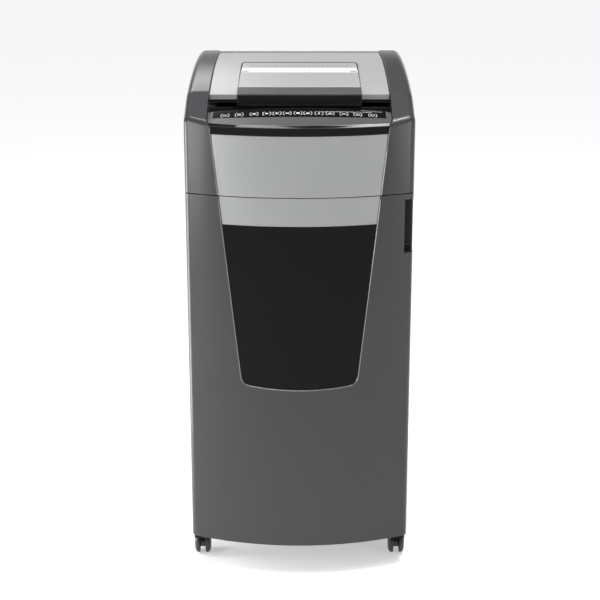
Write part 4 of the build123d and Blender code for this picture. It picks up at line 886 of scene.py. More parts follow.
def bead(name: str, body: Body, slot: Slot, finish: Finish, path: Sequence[Point3], radius: float) -> None:
    """Lays a round bead along a path.

    Args:
        name: name of the piece.
        body: body that carries the bead.
        slot: finish slot of the record.
        finish: finish of the bead.
        path: points of its middle line.
        radius: radius of the bead.
    """
    sizes = {"Radius": radius, "Sides": BEAD_SIDES}
    seat(BEADS.make(name, path, finish, sizes, path=True), body, slot)


def cast(node: str, axis: Point3) -> Surface:
    """Finds where a CAD node's surface lies, seen along an axis.

    Args:
        node: name of the CAD node.
        axis: direction from the node to the viewer, upward or rearward.

    Returns:
        A function from x, y to the height z, or from x, z to the depth y.
    """
    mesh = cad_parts[node].data
    tree = BVHTree.FromPolygons([v.co for v in mesh.vertices], [p.vertices for p in mesh.polygons])
    outward, far = Vector(axis), 2.0

    def find(first: float, second: float) -> float:
        """Gives the outermost surface.

        Args:
            first: coordinate x.
            second: coordinate y, or z for a surface seen from the rear.

        Returns:
            Height z, or depth y for a surface seen from the rear.
        """
        start = Vector((first, second, 0.0) if axis == UPWARD else (first, 0.0, second))
        hit = tree.ray_cast(start + outward * far, -outward)[0]
        if hit is None:
            raise ValueError(f"no surface of {node} at {first:.4f}, {second:.4f}")
        return hit.dot(outward)

    return find


def steps(first: float, last: float, count: int) -> list[float]:
    """Both ends of a stretch and the ends of the equal steps between them."""
    return [first + (last - first) * i / count for i in range(count + 1)]


def rectangle(x0: float, y0: float, x1: float, y1: float) -> list[Point2]:
    """Corners of a rectangle, counter-clockwise."""
    return [(x0, y0), (x1, y0), (x1, y1), (x0, y1)]


def arc(centre: Point2, radius: float, start: float, end: float, count: int) -> list[Point2]:
    """Points on a circle from start to end, in degrees."""
    turns = [math.radians(angle) for angle in steps(start, end, count)]
    return [(centre[0] + radius * math.cos(t), centre[1] + radius * math.sin(t)) for t in turns]


def slab(
    outline: Sequence[Point2], surface: Surface, low: float, high: float,
    name: str = "slab", rear: bool = False,
) -> bpy.types.Object:
    """Thin plate over a convex outline that follows a curved surface.

    Args:
        outline: plan points, counter-clockwise, in x, y or for a rear face in x, z.
        surface: height of the surface at x, y, or depth of a rear face at x, z.
        low: lower face above the surface.
        high: upper face above the surface.
        name: name of the piece.
        rear: whether the plate lies on a face that looks to the rear.

    Returns:
        The closed plate.
    """
    count = len(outline)
    if rear:
        points = [(x, surface(x, z) + lift, z) for lift in (low, high) for x, z in reversed(outline)]
    else:
        points = [(x, y, surface(x, y) + lift) for lift in (low, high) for x, y in outline]
    faces = [tuple(reversed(range(count))), tuple(range(count, 2 * count))]
    faces += [(i, (i + 1) % count, count + (i + 1) % count, count + i) for i in range(count)]
    return mesh_object(name, points, faces)


def join_pieces(name: str, parts: Sequence[bpy.types.Object]) -> bpy.types.Object:
    """Joins plain mesh objects into one piece.

    Args:
        name: name of the piece.
        parts: objects to join; they are removed.

    Returns:
        The joined object.
    """
    points: list[Point3] = []
    faces: list[tuple[int, ...]] = []
    for part in parts:
        start, mesh = len(points), part.data
        points += [tuple(v.co) for v in mesh.vertices]
        faces += [tuple(start + i for i in p.vertices) for p in mesh.polygons]
        bpy.data.objects.remove(part)
        bpy.data.meshes.remove(mesh)
    return mesh_object(name, points, faces)


def stroke(path: Sequence[Point2], width: float, closed: bool = False) -> list[list[Point2]]:
    """Bars along a path.

    Args:
        path: corner points.
        width: width of the line.
        closed: whether the path returns to its start.

    Returns:
        One convex outline for each run.
    """
    bars = []
    for (x0, y0), (x1, y1) in zip(path, [*path[1:], *path[:1]] if closed else path[1:]):
        share = width / 2 / math.hypot(x1 - x0, y1 - y0)
        ux, uy = (x1 - x0) * share, (y1 - y0) * share
        bars.append([
            (x0 - ux + uy, y0 - uy - ux), (x1 + ux + uy, y1 + uy - ux),
            (x1 + ux - uy, y1 + uy + ux), (x0 - ux - uy, y0 - uy + ux),
        ])
    return bars


def glyph_shapes(glyph: Glyph, line: float = 0.2) -> list[list[Point2]]:
    """Outlines of a pictogram in a square from -1 to 1.

    Args:
        glyph: which pictogram.
        line: width of its lines.

    Returns:
        Convex outlines.
    """
    box = rectangle(-0.6, -0.6, 0.6, 0.6)
    match glyph:
        case Glyph.POWER:
            return stroke(arc((0, -0.1), 0.65, 130, 410, 14), line) + stroke([(0, 0), (0, 0.75)], line)
        case Glyph.SHEET:
            fold = [(-0.5, -0.75), (0.5, -0.75), (0.5, 0.35), (0.1, 0.75), (-0.5, 0.75)]
            return stroke(fold, line, True) + stroke([(-0.2, -0.2), (0.2, -0.2)], line)
        case Glyph.STACK:
            return [bar for z in (-0.55, 0.0, 0.55) for bar in stroke([(-0.6, z), (0.6, z)], line * 1.3)]
        case Glyph.FORWARD:
            return [[(-0.5, -0.7), (0.75, 0.0), (-0.5, 0.7)]]
        case Glyph.PAUSE:
            return [bar for x in (-0.32, 0.32) for bar in stroke([(x, -0.6), (x, 0.6)], line * 1.7)]
        case Glyph.REVERSE:
            return [[(0.05, -0.6), (0.05, 0.6), (-0.75, 0.0)], [(0.8, -0.6), (0.8, 0.6), (0.0, 0.0)]]
        case Glyph.STOP:
            return [box]
        case Glyph.LOCK:
            return [rectangle(-0.6, -0.7, 0.6, 0.15)] + stroke(arc((0, 0.15), 0.42, 0, 180, 8), line)
        case Glyph.WARM:
            return [arc((0, -0.5), 0.34, 0, 330, 11)] + stroke([(0, -0.5), (0, 0.75)], line * 1.5)
        case Glyph.ALERT:
            sides = [(-0.75, -0.65), (0.75, -0.65), (0, 0.75)]
            return stroke(sides, line, True) + stroke([(0, -0.15), (0, 0.2)], line)
        case Glyph.JAM:
            return stroke([(-0.75, -0.4), (-0.35, 0.4), (0, -0.4), (0.35, 0.4), (0.75, -0.4)], line)
        case Glyph.DOOR:
            return stroke(box, line, True) + stroke([(-0.6, -0.6), (0.1, -0.95)], line)
        case _:
            walls = [(-0.6, 0.5), (-0.42, -0.75), (0.42, -0.75), (0.6, 0.5)]
            return stroke(walls, line) + stroke([(-0.8, 0.7), (0.8, 0.7)], line)


@dataclass(frozen=True)
class Lamp:
    """One soft box.

    Args:
        name: name of the lamp.
        place: its place.
        size: width and height.
        power: power in watts.
    """

    name: str
    place: Point3
    size: Point2
    power: float

    def hang(self, target: Point3) -> None:
        """Hangs the soft box.

        Args:
            target: point that it looks at.
        """
        data = bpy.data.lights.new(self.name, "AREA")
        data.shape = "RECTANGLE"
        data.size, data.size_y = self.size
        data.energy = self.power
        lamp = bpy.data.objects.new(self.name, data)
        lamp.location = self.place
        lamp.rotation_euler = (Vector(target) - Vector(self.place)).to_track_quat("-Z", "Y").to_euler()
        bpy.context.scene.collection.objects.link(lamp)


@dataclass
class Studio:
    """Camera, pale floor, backdrop and soft lights."""

    focal_px: float = 1447.5
    frame_px: float = 600.0
    sensor: float = 36.0
    camera_at: Point3 = (0.0, -3.1489, 1.470)
    pitch: float = 16.567
    offset_px: float = 0.53
    floor_colour: Colour = (0.93, 0.93, 0.93)
    floor_roughness: float = 0.9
    floor_specular: float = 0.1
    floor_half: float = 24.0
    glow: Point2 = (0.42, 0.75)
    glow_reach: Point2 = (0.6, 4.0)
    ambient: float = 0.18
    ceiling: float = 0.1
    ceiling_rise: Point2 = (0.07, 0.18)
    lamp_target: Point3 = (0.0, 0.0, 0.55)
    lamps: tuple[Lamp, ...] = (
        Lamp("key_left", (-2.12, -1.49, 1.0), (0.8, 1.4), 28.0),
        Lamp("edge_left", (-1.15, -0.05, 0.4), (0.45, 1.0), 14.0),
        Lamp("rim_right", (2.13, -1.54, 1.05), (0.35, 1.4), 10.0),
        Lamp("top_left", (-0.45, -0.3, 3.1), (1.1, 0.6), 27.5),
        Lamp("top_right", (0.75, -0.3, 3.1), (0.9, 0.5), 37.0),
        Lamp("strip_left", (-0.5, -1.25, 3.1), (1.1, 0.25), 3.5),
        Lamp("strip_right", (0.85, -1.25, 3.1), (1.5, 0.25), 9.0),
        Lamp("front", (0.4, -4.2, 1.8), (1.8, 1.2), 1.2),
        Lamp("back_left", (-0.75, 2.6, 2.45), (1.0, 0.65), 7.0),
        Lamp("back_right", (0.45, 0.55, 3.15), (0.5, 0.4), 5.0),
    )

    def build(self) -> None:
        """Builds the whole studio."""
        self._camera()
        self._floor()
        self._world()
        for lamp in self.lamps:
            lamp.hang(self.lamp_target)
        bpy.context.scene.view_settings.view_transform = "Standard"

    def _camera(self) -> None:
        """Sets the camera at the photograph's viewing angle."""
        data = bpy.data.cameras.new("camera")
        data.sensor_width = self.sensor
        data.lens = self.focal_px / self.frame_px * self.sensor
        data.shift_x = self.offset_px / self.frame_px
        camera = bpy.data.objects.new("camera", data)
        camera.location = self.camera_at
        camera.rotation_euler = (math.radians(90.0 - self.pitch), 0.0, 0.0)
        bpy.context.scene.collection.objects.link(camera)
        bpy.context.scene.camera = camera

    @staticmethod
    def _ramp(
        maker: TreeMaker, value: bpy.types.NodeSocket, reach: Point2, ends: Point2
    ) -> bpy.types.NodeSocket:
        """Changes smoothly from one value to another.

        Args:
            maker: maker of the tree.
            value: socket that the change follows.
            reach: where the change starts and stops.
            ends: values before and after it.

        Returns:
            The changing value.
        """
        limits = {"From Min": reach[0], "From Max": reach[1], "To Min": ends[0], "To Max": ends[1]}
        kind = "ShaderNodeMapRange"
        return maker.add(kind, {"Value": value, **limits}, interpolation_type="SMOOTHSTEP").outputs[0]

    @staticmethod
    def _seen(maker: TreeMaker) -> bpy.types.NodeSocket:
        """Tells rays of the camera, mirrors and glass from rays that carry light.

        Args:
            maker: maker of the tree.

        Returns:
            1 for the former rays and 0 for the latter.
        """
        path = maker.add("ShaderNodeLightPath").outputs
        mirrored = maker.math("MAXIMUM", path["Is Glossy Ray"], path["Is Transmission Ray"])
        return maker.math("MAXIMUM", path["Is Camera Ray"], mirrored)

    def _floor(self) -> None:
        """Lays the floor, which keeps the shadow of the object."""
        half = self.floor_half
        corners = [(x, y, 0.0) for x, y in rectangle(-half, -half, half, half)]
        floor = mesh_object("floor", corners, [(0, 1, 2, 3)])
        paint = bpy.data.materials.new("floor_paint")
        paint.use_nodes = True
        maker = TreeMaker(paint.node_tree)
        place = maker.add("ShaderNodeTexCoord").outputs["Object"]
        reach = maker.add("ShaderNodeVectorMath", {0: place}, operation="LENGTH").outputs["Value"]
        glow = self._ramp(maker, reach, self.glow_reach, self.glow)
        maker.feed(paint.node_tree.nodes["Principled BSDF"], {
            "Base Color": (*self.floor_colour, 1.0), "Roughness": self.floor_roughness,
            "Specular IOR Level": self.floor_specular,
            "Emission Color": WHITE, "Emission Strength": maker.times(self._seen(maker), glow),
        })
        floor.data.materials.append(paint)

    def _world(self) -> None:
        """Makes surroundings, white at the horizon under a dim ceiling, with plain light all round."""
        world = bpy.data.worlds.new("studio")
        world.use_nodes = True
        bpy.context.scene.world = world
        maker = TreeMaker(world.node_tree)
        place = maker.add("ShaderNodeTexCoord").outputs["Generated"]
        rise = maker.add("ShaderNodeSeparateXYZ", {0: place}).outputs["Z"]
        shade = self._ramp(maker, rise, self.ceiling_rise, (1.0, self.ceiling))
        lift = maker.times(self._seen(maker), maker.math("SUBTRACT", shade, self.ambient))
        maker.feed(
            world.node_tree.nodes["Background"],
            {"Color": WHITE, "Strength": maker.math("ADD", lift, self.ambient)},
        )


@dataclass
class Cabinet:
    """Side panels, back and base of the lower cabinet."""

    panel_edge: float = 0.9 * MM
    tray_edge: float = 0.6 * MM
    chute_edge: float = 0.5 * MM
    catch_edge: float = 0.8 * MM
    screw_inset: float = 14 * MM
    screw_rows: int = 4

    def build(self) -> None:
        """Builds the cabinet's pieces."""
        for node in ("left_side_panel", "right_side_panel", "rear_panel"):
            rounded_node(node, Body.HOUSING, Slot.PANEL, PANEL, self.panel_edge)
        rounded_node("base_tray", Body.HOUSING, Slot.PANEL, PANEL, self.tray_edge)
        rounded_node("shred_chute", Body.HOUSING, Slot.BLACK, BLACK, self.chute_edge)
        rounded_node("door_catch", Body.HOUSING, Slot.BLACK, BLACK, self.catch_edge)
        dress_nodes(ZINC, "deck_plate", "bag_hoop")
        dress_nodes(BLACK_ZINC, "door_hinge_brackets")
        self._screws()

    def _screws(self) -> None:
        """Sets the screws along both sides of the rear panel."""
        low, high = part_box("rear_panel")
        rows = steps(low.z + 2 * self.screw_inset, high.z - 2 * self.screw_inset, self.screw_rows - 1)
        columns = (low.x + self.screw_inset, high.x - self.screw_inset)
        rear_screws("rear_panel_screws", [(x, high.y, z) for x in columns for z in rows])


@dataclass
class Door:
    """Bowed door with silver trim, smoked window and finger grip."""

    inset: Inset = Inset(half=172 * MM, top=832 * MM, rim=2.2 * MM, edge=1.4 * MM)
    plate_edge: float = 0.6 * MM
    cup_edge: float = 0.3 * MM
    rib_radius: float = 1.8 * MM
    rib_half: float = 165 * MM
    rib_steps: int = 24
    rib_first: float = 150 * MM
    rib_pitch: float = 60 * MM
    rib_count: int = 5

    def build(self) -> None:
        """Builds the door's pieces."""
        self.inset.rimmed_node("door_panel", Body.DOOR)
        rounded_node("door_trim", Body.DOOR, Slot.SILVER, FASCIA_SHADED, self.plate_edge)
        rounded_node("door_window", Body.DOOR, Slot.WINDOW, WINDOW, self.plate_edge)
        rounded_node("door_grip_cup", Body.DOOR, Slot.BLACK, BLACK, self.cup_edge)
        dress_nodes(ZINC, "door_strike")
        self._inner_ribs()

    def _inner_ribs(self) -> None:
        """Lays the stiffening ribs across the door's hollow inner face."""
        inner = cast("door_panel", REARWARD)
        for i in range(self.rib_count):
            z = self.rib_first + i * self.rib_pitch
            path = [(x, inner(x, z), z) for x in steps(-self.rib_half, self.rib_half, self.rib_steps)]
            bead(f"door_inner_rib_{i + 1}", Body.DOOR, Slot.SHELL, CHARCOAL, path, self.rib_radius)


@dataclass
class Head:
    """Cheeks, silver fascia, throat, paper tray and rear cover of the head."""

    inset: Inset = Inset(half=186 * MM, top=962 * MM, rim=2.2 * MM, edge=1.2 * MM)
    plate_edge: float = 0.6 * MM
    guide_edge: float = 0.5 * MM
    tray_edge: float = 0.7 * MM
    inlet_edge: float = 0.4 * MM
    rocker_edge: float = 0.5 * MM
    rear_band: float = 1052 * MM
    rear_normal: float = 0.5
    screw_inset: float = 12 * MM
    screw_heights: Point2 = (14 * MM, 150 * MM)
    lap_half: float = 7 * MM
    lap_depth: Point2 = (-3 * MM, 0.2 * MM)
    lap_ends: Point2 = (4 * MM, -26 * MM)
    lap_edge: float = 0.5 * MM
    tray_rib: Point3 = (2.4 * MM, 230 * MM, 2.2 * MM)
    tray_rib_y: float = 20 * MM
    tray_rib_half: float = 84 * MM
    tray_rib_count: int = 5
    tray_rib_lift: float = 0.5 * MM
    tray_rib_edge: float = 0.5 * MM
    mark_reach: float = 1.82 * MM
    mark_line: float = 0.91 * MM
    mark_lift: Point2 = (-0.2 * MM, 0.06 * MM)

    def build(self) -> None:
        """Builds the head's pieces."""
        for node in ("left_cheek", "right_cheek"):
            self.inset.rimmed_node(node, Body.HOUSING)
        rounded_node("front_fascia", Body.HOUSING, Slot.SILVER, FASCIA_SHADED, self.plate_edge)
        self._rear_cover()
        for node, edge in (
            ("throat_front_guide", self.guide_edge), ("throat_rear_guide", self.guide_edge),
            ("paper_tray", self.tray_edge), ("power_inlet", self.inlet_edge),
        ):
            rounded_node(node, Body.HOUSING, Slot.BLACK, BLACK, edge)
        rounded_node("power_rocker", Body.ROCKER, Slot.BLACK, GRIP, self.rocker_edge)
        dress_nodes(BOARD, "circuit_boards")
        self._screws()
        self._rear_laps()
        self._tray_ribs()
        self._rocker_marks()

    def _rear_cover(self) -> None:
        """Rounds the rear cover and gives its top edge, which carries on the lid's line, the lid's silver."""
        cover = split_copy("rear_cover", (0, 0, self.rear_band), UPWARD)
        dress(round_edges(cover, self.plate_edge), CHARCOAL, SILVER)
        for face in cover.data.polygons:
            face.material_index = int(face.center.z > self.rear_band and face.normal.y < self.rear_normal)
        seat(cover, Body.HOUSING, Slot.SHELL, "rear_cover")

    def _screws(self) -> None:
        """Sets the screws in the corners of the rear cover."""
        low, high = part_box("rear_cover")
        columns = (low.x + self.screw_inset, high.x - self.screw_inset)
        places = [(x, high.y, low.z + rise) for x in columns for rise in self.screw_heights]
        rear_screws("rear_cover_screws", places)

    def _rear_laps(self) -> None:
        """Sets the upright lap strips behind the joints between rear cover and cheeks."""
        low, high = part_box("rear_cover")
        front, rear = (low.y + depth for depth in self.lap_depth)
        foot, top = low.z + self.lap_ends[0], high.z + self.lap_ends[1]
        for name, x in (("left", low.x), ("right", high.x)):
            plan = rectangle(x - self.lap_half, front, x + self.lap_half, rear)
            strip = slab(plan, lambda _x, _y: 0.0, foot, top, f"rear_lap_{name}")
            seat(dress(round_edges(strip, self.lap_edge), BLACK), Body.HOUSING, Slot.BLACK)

    def _tray_ribs(self) -> None:
        """Sets the low ribs that the stack of sheets lies on."""
        wide, long, high = self.tray_rib
        level = cast("paper_tray", UPWARD)(0.0, self.tray_rib_y) + self.tray_rib_lift
        xs = steps(-self.tray_rib_half, self.tray_rib_half, self.tray_rib_count - 1)
        places = [(x, self.tray_rib_y, level) for x in xs]
        sizes = {"Run": (0.0, long, 0.0), "Width": wide, "Height": high, "Rounding": self.tray_rib_edge}
        seat(RIBS.make("paper_tray_ribs", places, BLACK, sizes), Body.HOUSING, Slot.BLACK)

    def _rocker_marks(self) -> None:
        """Prints the on bar and the off ring on the two halves of the rocker."""
        face = cast("power_rocker", REARWARD)
        low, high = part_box("power_rocker")
        middle = (low + high) / 2
        on = [(0, self.mark_reach), (0, -self.mark_reach)]
        off = arc((0, 0), self.mark_reach, 0, 330, 11)
        parts = []
        for path, closed, side in ((on, False, 1), (off, True, -1)):
            z = middle.z + side * (high.z - low.z) / 4
            for bar in stroke([(middle.x + u, z + v) for u, v in path], self.mark_line, closed):
                parts.append(slab(bar, face, *self.mark_lift, rear=True))
        seat(dress(join_pieces("rocker_marks", parts), MARK), Body.ROCKER, Slot.CONTROL)


@dataclass
class ControlStrip:
    """Sloping strip in front of the throat, with a glossy edge, a black inlay and pictograms."""

    bow_radius: float = 527.5 * MM
    front_height: float = 980.6 * MM
    slope: float = 14.0
    panel_edge: float = 2.2 * MM
    panel_crease: float = 25.0
    top_normal: float = 0.955
    top_area: float = 0.2 * MM * MM
    edge_normal: float = 0.15
    inlay_half: float = 177 * MM
    inlay_front: float = -251 * MM
    inlay_bow: float = 13 * MM
    inlay_rear: float = -206 * MM
    inlay_lift: float = 0.45 * MM
    inlay_depth: float = 0.3 * MM
    inlay_edge: float = 0.3 * MM
    inlay_grid: tuple[int, int] = (40, 6)
    end_radius: float = 0.7 * MM
    status_bar: tuple[Point2, Point2] = ((125 * MM, -213.5 * MM), (169 * MM, -207.5 * MM))
    status_lift: float = 0.5 * MM
    link_line: tuple[Point2, Point2] = ((37 * MM, -225.5 * MM), (148 * MM, -217 * MM))
    link_width: float = 0.8 * MM
    run_steps: int = 8
    glyph_y: float = -233 * MM
    glyph_bow: float = 4 * MM
    glyph_half: float = 5.4 * MM
    # Middles of the pictograms, in millimetres.
    glyph_x: tuple[float, ...] = (-151, -122, -92, -66, -45.5, -25, -3, 17, 39.5, 62, 90, 118, 148.5)
    bracket_half: float = 8.0 * MM
    bracket_end_x: float = 4.96 * MM
    bracket_bend_y: float = 5.6 * MM
    bracket_width: float = 0.9 * MM
    print_lift: Point2 = (-0.2 * MM, 0.16 * MM)

    def surface(self, x: float, y: float) -> float:
        """Height of the sloping top at x, y."""
        reach = math.hypot(x, BOW_CENTRE - y)
        return self.front_height + (self.bow_radius - reach) * math.tan(math.radians(self.slope))

    def build(self) -> None:
        """Builds the strip's pieces."""
        self._panel()
        self._inlay()
        self._ends()
        self._print()

    def _front(self, x: float) -> float:
        """Front edge of the inlay at x, which bows back towards its ends."""
        return self.inlay_front + self.inlay_bow * (x / self.inlay_half) ** 2

    def _panel(self) -> None:
        """Rounds the strip's edge and splits its finish at the top of the rounding."""
        panel = merged_copy("control_panel")
        round_edges(panel, self.panel_edge, segments=4, crease=self.panel_crease)
        dress(panel, GLOSS, BEZEL, POLISH)
        for face in panel.data.polygons:
            if face.normal.z > self.top_normal and face.area > self.top_area:
                face.material_index = 1
            elif face.normal.z > self.edge_normal:
                face.material_index = 2
        seat(panel, Body.HOUSING, Slot.CONTROL, "control_panel")

    def _inlay(self) -> None:
        """Lays the black inlay that carries the pictograms."""
        columns, rows = self.inlay_grid
        xs = steps(-self.inlay_half, self.inlay_half, columns)
        lines = [steps(self._front(x), self.inlay_rear, rows) for x in xs]
        plan = [(x, line[j]) for j in range(rows + 1) for x, line in zip(xs, lines)]
        lifts = (self.inlay_lift, -self.inlay_depth)
        points = [(x, y, self.surface(x, y) + lift) for lift in lifts for x, y in plan]
        wide, below = columns + 1, len(plan)
        faces = []
        for a in (j * wide + i for j in range(rows) for i in range(columns)):
            top = (a, a + 1, a + wide + 1, a + wide)
            faces += [top, tuple(below + corner for corner in reversed(top))]
        rim = [*range(columns), *range(columns, below - 1, wide)]
        rim += [below - 1 - corner for corner in rim]
        faces += [(below + a, below + b, b, a) for a, b in zip(rim, rim[1:] + rim[:1])]
        inlay = round_edges(mesh_object("control_inlay", points, faces), self.inlay_edge)
        seat(dress(inlay, INLAY), Body.HOUSING, Slot.CONTROL)

    def _ends(self) -> None:
        """Sets the thin pale lines at both ends of the inlay, painted highlights of its end edges, and the
        smoked status bar.
        """
        for name, x in (("left", -self.inlay_half), ("right", self.inlay_half)):
            ys = steps(self._front(x), self.inlay_rear, self.inlay_grid[1])
            path = [(x, y, self.surface(x, y) + self.inlay_lift) for y in ys]
            # Pale beads as painted highlights of the inlay's end edges.
            bead(f"control_end_highlight_{name}", Body.HOUSING, Slot.CONTROL, TICK_AND_HIGHLIGHT, path, self.end_radius)
        (x0, front), (x1, rear) = self.status_bar
        xs = steps(x0, x1, self.run_steps)
        outline = [(x, front) for x in xs] + [(x, rear) for x in reversed(xs)]
        bar = slab(outline, self.surface, 0.0, self.inlay_lift + self.status_lift, "control_status_bar")
        seat(dress(round_edges(bar, self.inlay_edge), LENS), Body.HOUSING, Slot.CONTROL)

    def _print(self) -> None:
        """Prints the row of pictograms with their brackets, and the line behind the right-hand ones."""
        shapes = []
        brackets = []
        for side in (-1, 1):
            end = (side * self.bracket_end_x, self.bracket_half)
            bend = (side * self.bracket_half, self.bracket_bend_y)
            path = [end, bend, *((x, -y) for x, y in (bend, end))]
            brackets += stroke(path, self.bracket_width)
        for x, glyph in zip((MM * place for place in self.glyph_x), Glyph):
            half = self.glyph_half
            marks = [[(u * half, v * half) for u, v in shape] for shape in glyph_shapes(glyph)]
            middle = self.glyph_y + self.glyph_bow * (x / self.inlay_half) ** 2
            shapes += [[(x + u, middle + v) for u, v in shape] for shape in marks + brackets]
        (x0, y0), (x1, y1) = self.link_line
        run = list(zip(steps(x0, x1, self.run_steps), steps(y0, y1, self.run_steps)))
        shapes += stroke(run, self.link_width)
        low, high = (self.inlay_lift + lift for lift in self.print_lift)
        parts = []
        for shape in shapes:
            area = sum(a[0] * b[1] - b[0] * a[1] for a, b in zip(shape, shape[1:] + shape[:1]))
            parts.append(slab(shape if area > 0 else shape[::-1], self.surface, low, high))
        marks = join_pieces("control_pictograms", parts)
        seat(dress(marks, MARK), Body.HOUSING, Slot.CONTROL)


@dataclass
class Lid:
    """Crowned silver lid with its raised cover, level strip and black grip."""

    crown_radius: float = 1750 * MM
    crown_apex: float = 200 * MM
    crown_top: float = 1064 * MM
    drop: float = 6 * MM
    shell_edge: float = 1.0 * MM
    grip_edge: float = 1.6 * MM
    pad_edge: float = 0.4 * MM
    strip_edge: float = 0.6 * MM
    cover_half: float = 127.5 * MM
    cover_corner: float = 12 * MM
    # Dark bead round the raised cover: painted shadow of the gap between cover and shell.
    shadow_bead: float = 1.6 * MM
    shadow_bead_lift: float = 0.96 * MM
    shadow_bead_steps: tuple[int, int] = (12, 6)
    lip_rear: float = 43 * MM
    ear_width: float = 15 * MM
    ear_depths: Point2 = (12 * MM, 8.4 * MM)
    ear_inset: Point2 = (3 * MM, 1 * MM)
    ear_lift: Point2 = (-0.3 * MM, 0.5 * MM)
    tick_y: float = 62 * MM
    tick_count: int = 21
    tick_reach: float = 104 * MM
    tick_half: Point2 = (3 * MM, 3 * MM)
    tick_long: float = 4.2 * MM
    tick_every: int = 5
    tick_lift: Point2 = (-0.2 * MM, 0.12 * MM)
    pad_travel: float = 8 * MM

    def surface(self, y: float) -> float:
        """Height of the lid's top at depth y."""
        radius = self.crown_radius - self.drop
        return self.crown_top - self.crown_radius + math.sqrt(radius ** 2 - (y - self.crown_apex) ** 2)

    def build(self) -> None:
        """Builds the lid's pieces."""
        for node, slot, finish, edge in (
            ("lid_shell", Slot.SILVER, SILVER, self.shell_edge),
            ("lid_centre_cover", Slot.SILVER, SILVER, self.shell_edge),
            ("lid_grip", Slot.BLACK, GRIP, self.grip_edge),
            ("lid_grip_cap", Slot.SHELL, BEZEL, self.shell_edge),
        ):
            rounded_node(node, Body.LID, slot, finish, edge, segments=3)
        rounded_node("pressure_pad", Body.PAD, Slot.BLACK, BLACK, self.pad_edge)
        dress_nodes(ZINC, "lid_hinge_pins")
        self._springs()
        self._level_strip()
        self._lip_ears()
        self._ticks()
        self._shadow_bead()

    def _springs(self) -> None:
        """Copies the leaf springs with smooth shading, dresses them in zinc and seats them on the lid with a
        mesh of their own.
        """
        springs = settle(merged_copy("pad_springs"))
        seat(dress(springs, ZINC), Body.LID, Slot.STEEL, "pad_springs")
        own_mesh(springs)

    def _level_strip(self) -> None:
        """Splits the level strip into its lip, painted pale as a highlight, and its duller field."""
        strip = split_copy("lid_level_strip", (0, self.lip_rear, 0), REARWARD)
        dress(round_edges(strip, self.strip_edge, segments=3), SILVER, SILVER_LIP_HIGHLIGHT)
        for face in strip.data.polygons:
            face.material_index = int(face.center.y < self.lip_rear)
        seat(strip, Body.LID, Slot.SILVER, "lid_level_strip")

    def _lip_ears(self) -> None:
        """Sets the raised ears at both ends of the pale lip."""
        top = cast("lid_level_strip", UPWARD)
        aside, behind = self.ear_inset
        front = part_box("lid_level_strip")[0].y + behind
        outer = self.cover_half - aside
        inner = outer - self.ear_width
        outer_rear, inner_rear = (front + depth for depth in self.ear_depths)
        plan = [(outer, front), (outer, outer_rear), (inner, inner_rear), (inner, front)]
        mirrored = [(-x, y) for x, y in reversed(plan)]
        ears = [slab(outline, top, *self.ear_lift) for outline in (mirrored, plan)]
        seat(dress(join_pieces("lid_lip_ears", ears), SILVER), Body.LID, Slot.SILVER)

    def _ticks(self) -> None:
        """Prints the row of ticks on the strip's field, every few of them longer."""
        top = cast("lid_level_strip", UPWARD)
        short, deep = self.tick_half
        ticks = []
        for i, x in enumerate(steps(-self.tick_reach, self.tick_reach, self.tick_count - 1)):
            half = short if i % self.tick_every else self.tick_long
            plan = rectangle(x - half, self.tick_y - deep, x + half, self.tick_y + deep)
            ticks.append(slab(plan, top, *self.tick_lift))
        seat(dress(join_pieces("lid_level_ticks", ticks), TICK_AND_HIGHLIGHT), Body.LID, Slot.CONTROL)

    def _shadow_bead(self) -> None:
        """Lays the dark bead round the raised cover, a painted shadow of the gap round it."""
        front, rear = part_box("lid_centre_cover")[0].y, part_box("lid_level_strip")[1].y
        half, radius = self.cover_half, self.cover_corner
        straight, round_steps = self.shadow_bead_steps
        plan = [(half, y) for y in steps(front, rear - radius, straight)]
        plan += arc((half - radius, rear - radius), radius, 0, 90, round_steps)[1:]
        plan += [(-x, y) for x, y in reversed(plan)]
        path = [(x, y, self.surface(y) + self.shadow_bead_lift) for x, y in plan]
        bead("lid_cover_shadow_bead", Body.LID, Slot.BLACK, BLACK, path, self.shadow_bead)


@dataclass
class Drive:
    """Cutters, gears, motor, belt and feed rollers inside the head."""

    gears: tuple[str, ...] = (
        "front_cutter_gear", "rear_cutter_gear", "compound_gear", "drive_pulley", "feed_pulley",
    )

    def build(self) -> None:
        """Dresses the drive's nodes."""
        dress_nodes(CUTTER, "front_cutter", "rear_cutter", "motor_pinion", "stripper_combs")
        dress_nodes(GEAR, *self.gears)
        dress_nodes(ZINC, "cutter_frame", "feed_shaft")
        dress_nodes(BRASS, "bearings")
        dress_nodes(IRON, "motor")
        dress_nodes(RUBBER, "feed_belt", "feed_rollers")


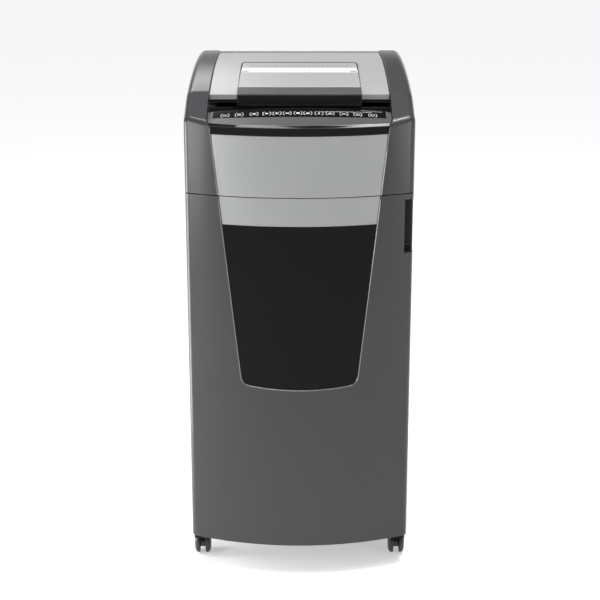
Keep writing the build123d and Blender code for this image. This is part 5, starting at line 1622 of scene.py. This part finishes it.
@dataclass
class Castors:
    """Four twin-wheel castors, whose wheels are turned from a profile of radius and offset in millimetres."""

    names: tuple[str, ...] = ("front_left", "front_right", "rear_left", "rear_right")
    hood_edge: float = 0.7 * MM
    crease: float = 40.0
    sides: int = 48
    profile: tuple[Point2, ...] = (
        (3.06, 0.0), (8.0, 0.0), (9.0, 0.0), (21.5, 0.0), (22.0, 0.4), (24.4, 0.4), (25.0, 1.0), (25.0, 5.4),
        (24.4, 6.6), (21.5, 9.4), (17.0, 11.2), (11.0, 11.6), (7.0, 11.6), (6.2, 11.0), (3.06, 11.0),
    )

    def build(self) -> None:
        """Builds hoods and wheels."""
        for name in self.names:
            hood, body = f"castor_{name}_hood", f"{name}_swivel"
            rounded_node(hood, body, Slot.HOOD, NYLON, self.hood_edge, crease=self.crease)
            for side in ("inner", "outer"):
                self._wheel(name, side)

    def _wheel(self, name: str, side: str) -> None:
        """Turns one wheel from its profile.

        Args:
            name: name of the castor.
            side: inner or outer.
        """
        node = f"castor_{name}_{side}_wheel"
        low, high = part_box(node)
        middle = (low + high) / 2
        outward = 1 if (middle.x > 0) == (side == "outer") else -1
        start = low.x if outward > 0 else high.x
        points = []
        for turn in steps(0.0, 2 * math.pi, self.sides)[:-1]:
            for radius, offset in self.profile:
                y, z = radius * MM * math.cos(turn), radius * MM * math.sin(turn)
                points.append((start + outward * offset * MM, middle.y + y, middle.z + z))
        count = len(self.profile)
        faces = []
        for i in range(self.sides):
            here, ahead = i * count, (i + 1) % self.sides * count
            for j, k in zip(range(count), [*range(1, count), 0]):
                face = (here + j, here + k, ahead + k, ahead + j)
                faces.append(face if outward < 0 else face[::-1])
        wheel = settle(mesh_object(f"{node}_skin", points, faces), self.crease)
        seat(dress(wheel, TREAD), f"{name}_{side}", Slot.TREAD, node)


def main() -> None:
    """Builds the studio and every sub-assembly."""
    Studio().build()
    for assembly in (Cabinet(), Door(), Head(), ControlStrip(), Lid(), Drive(), Castors()):
        assembly.build()
        LOG.info("built %s", type(assembly).__name__)


if __name__ == "__main__":
    main()
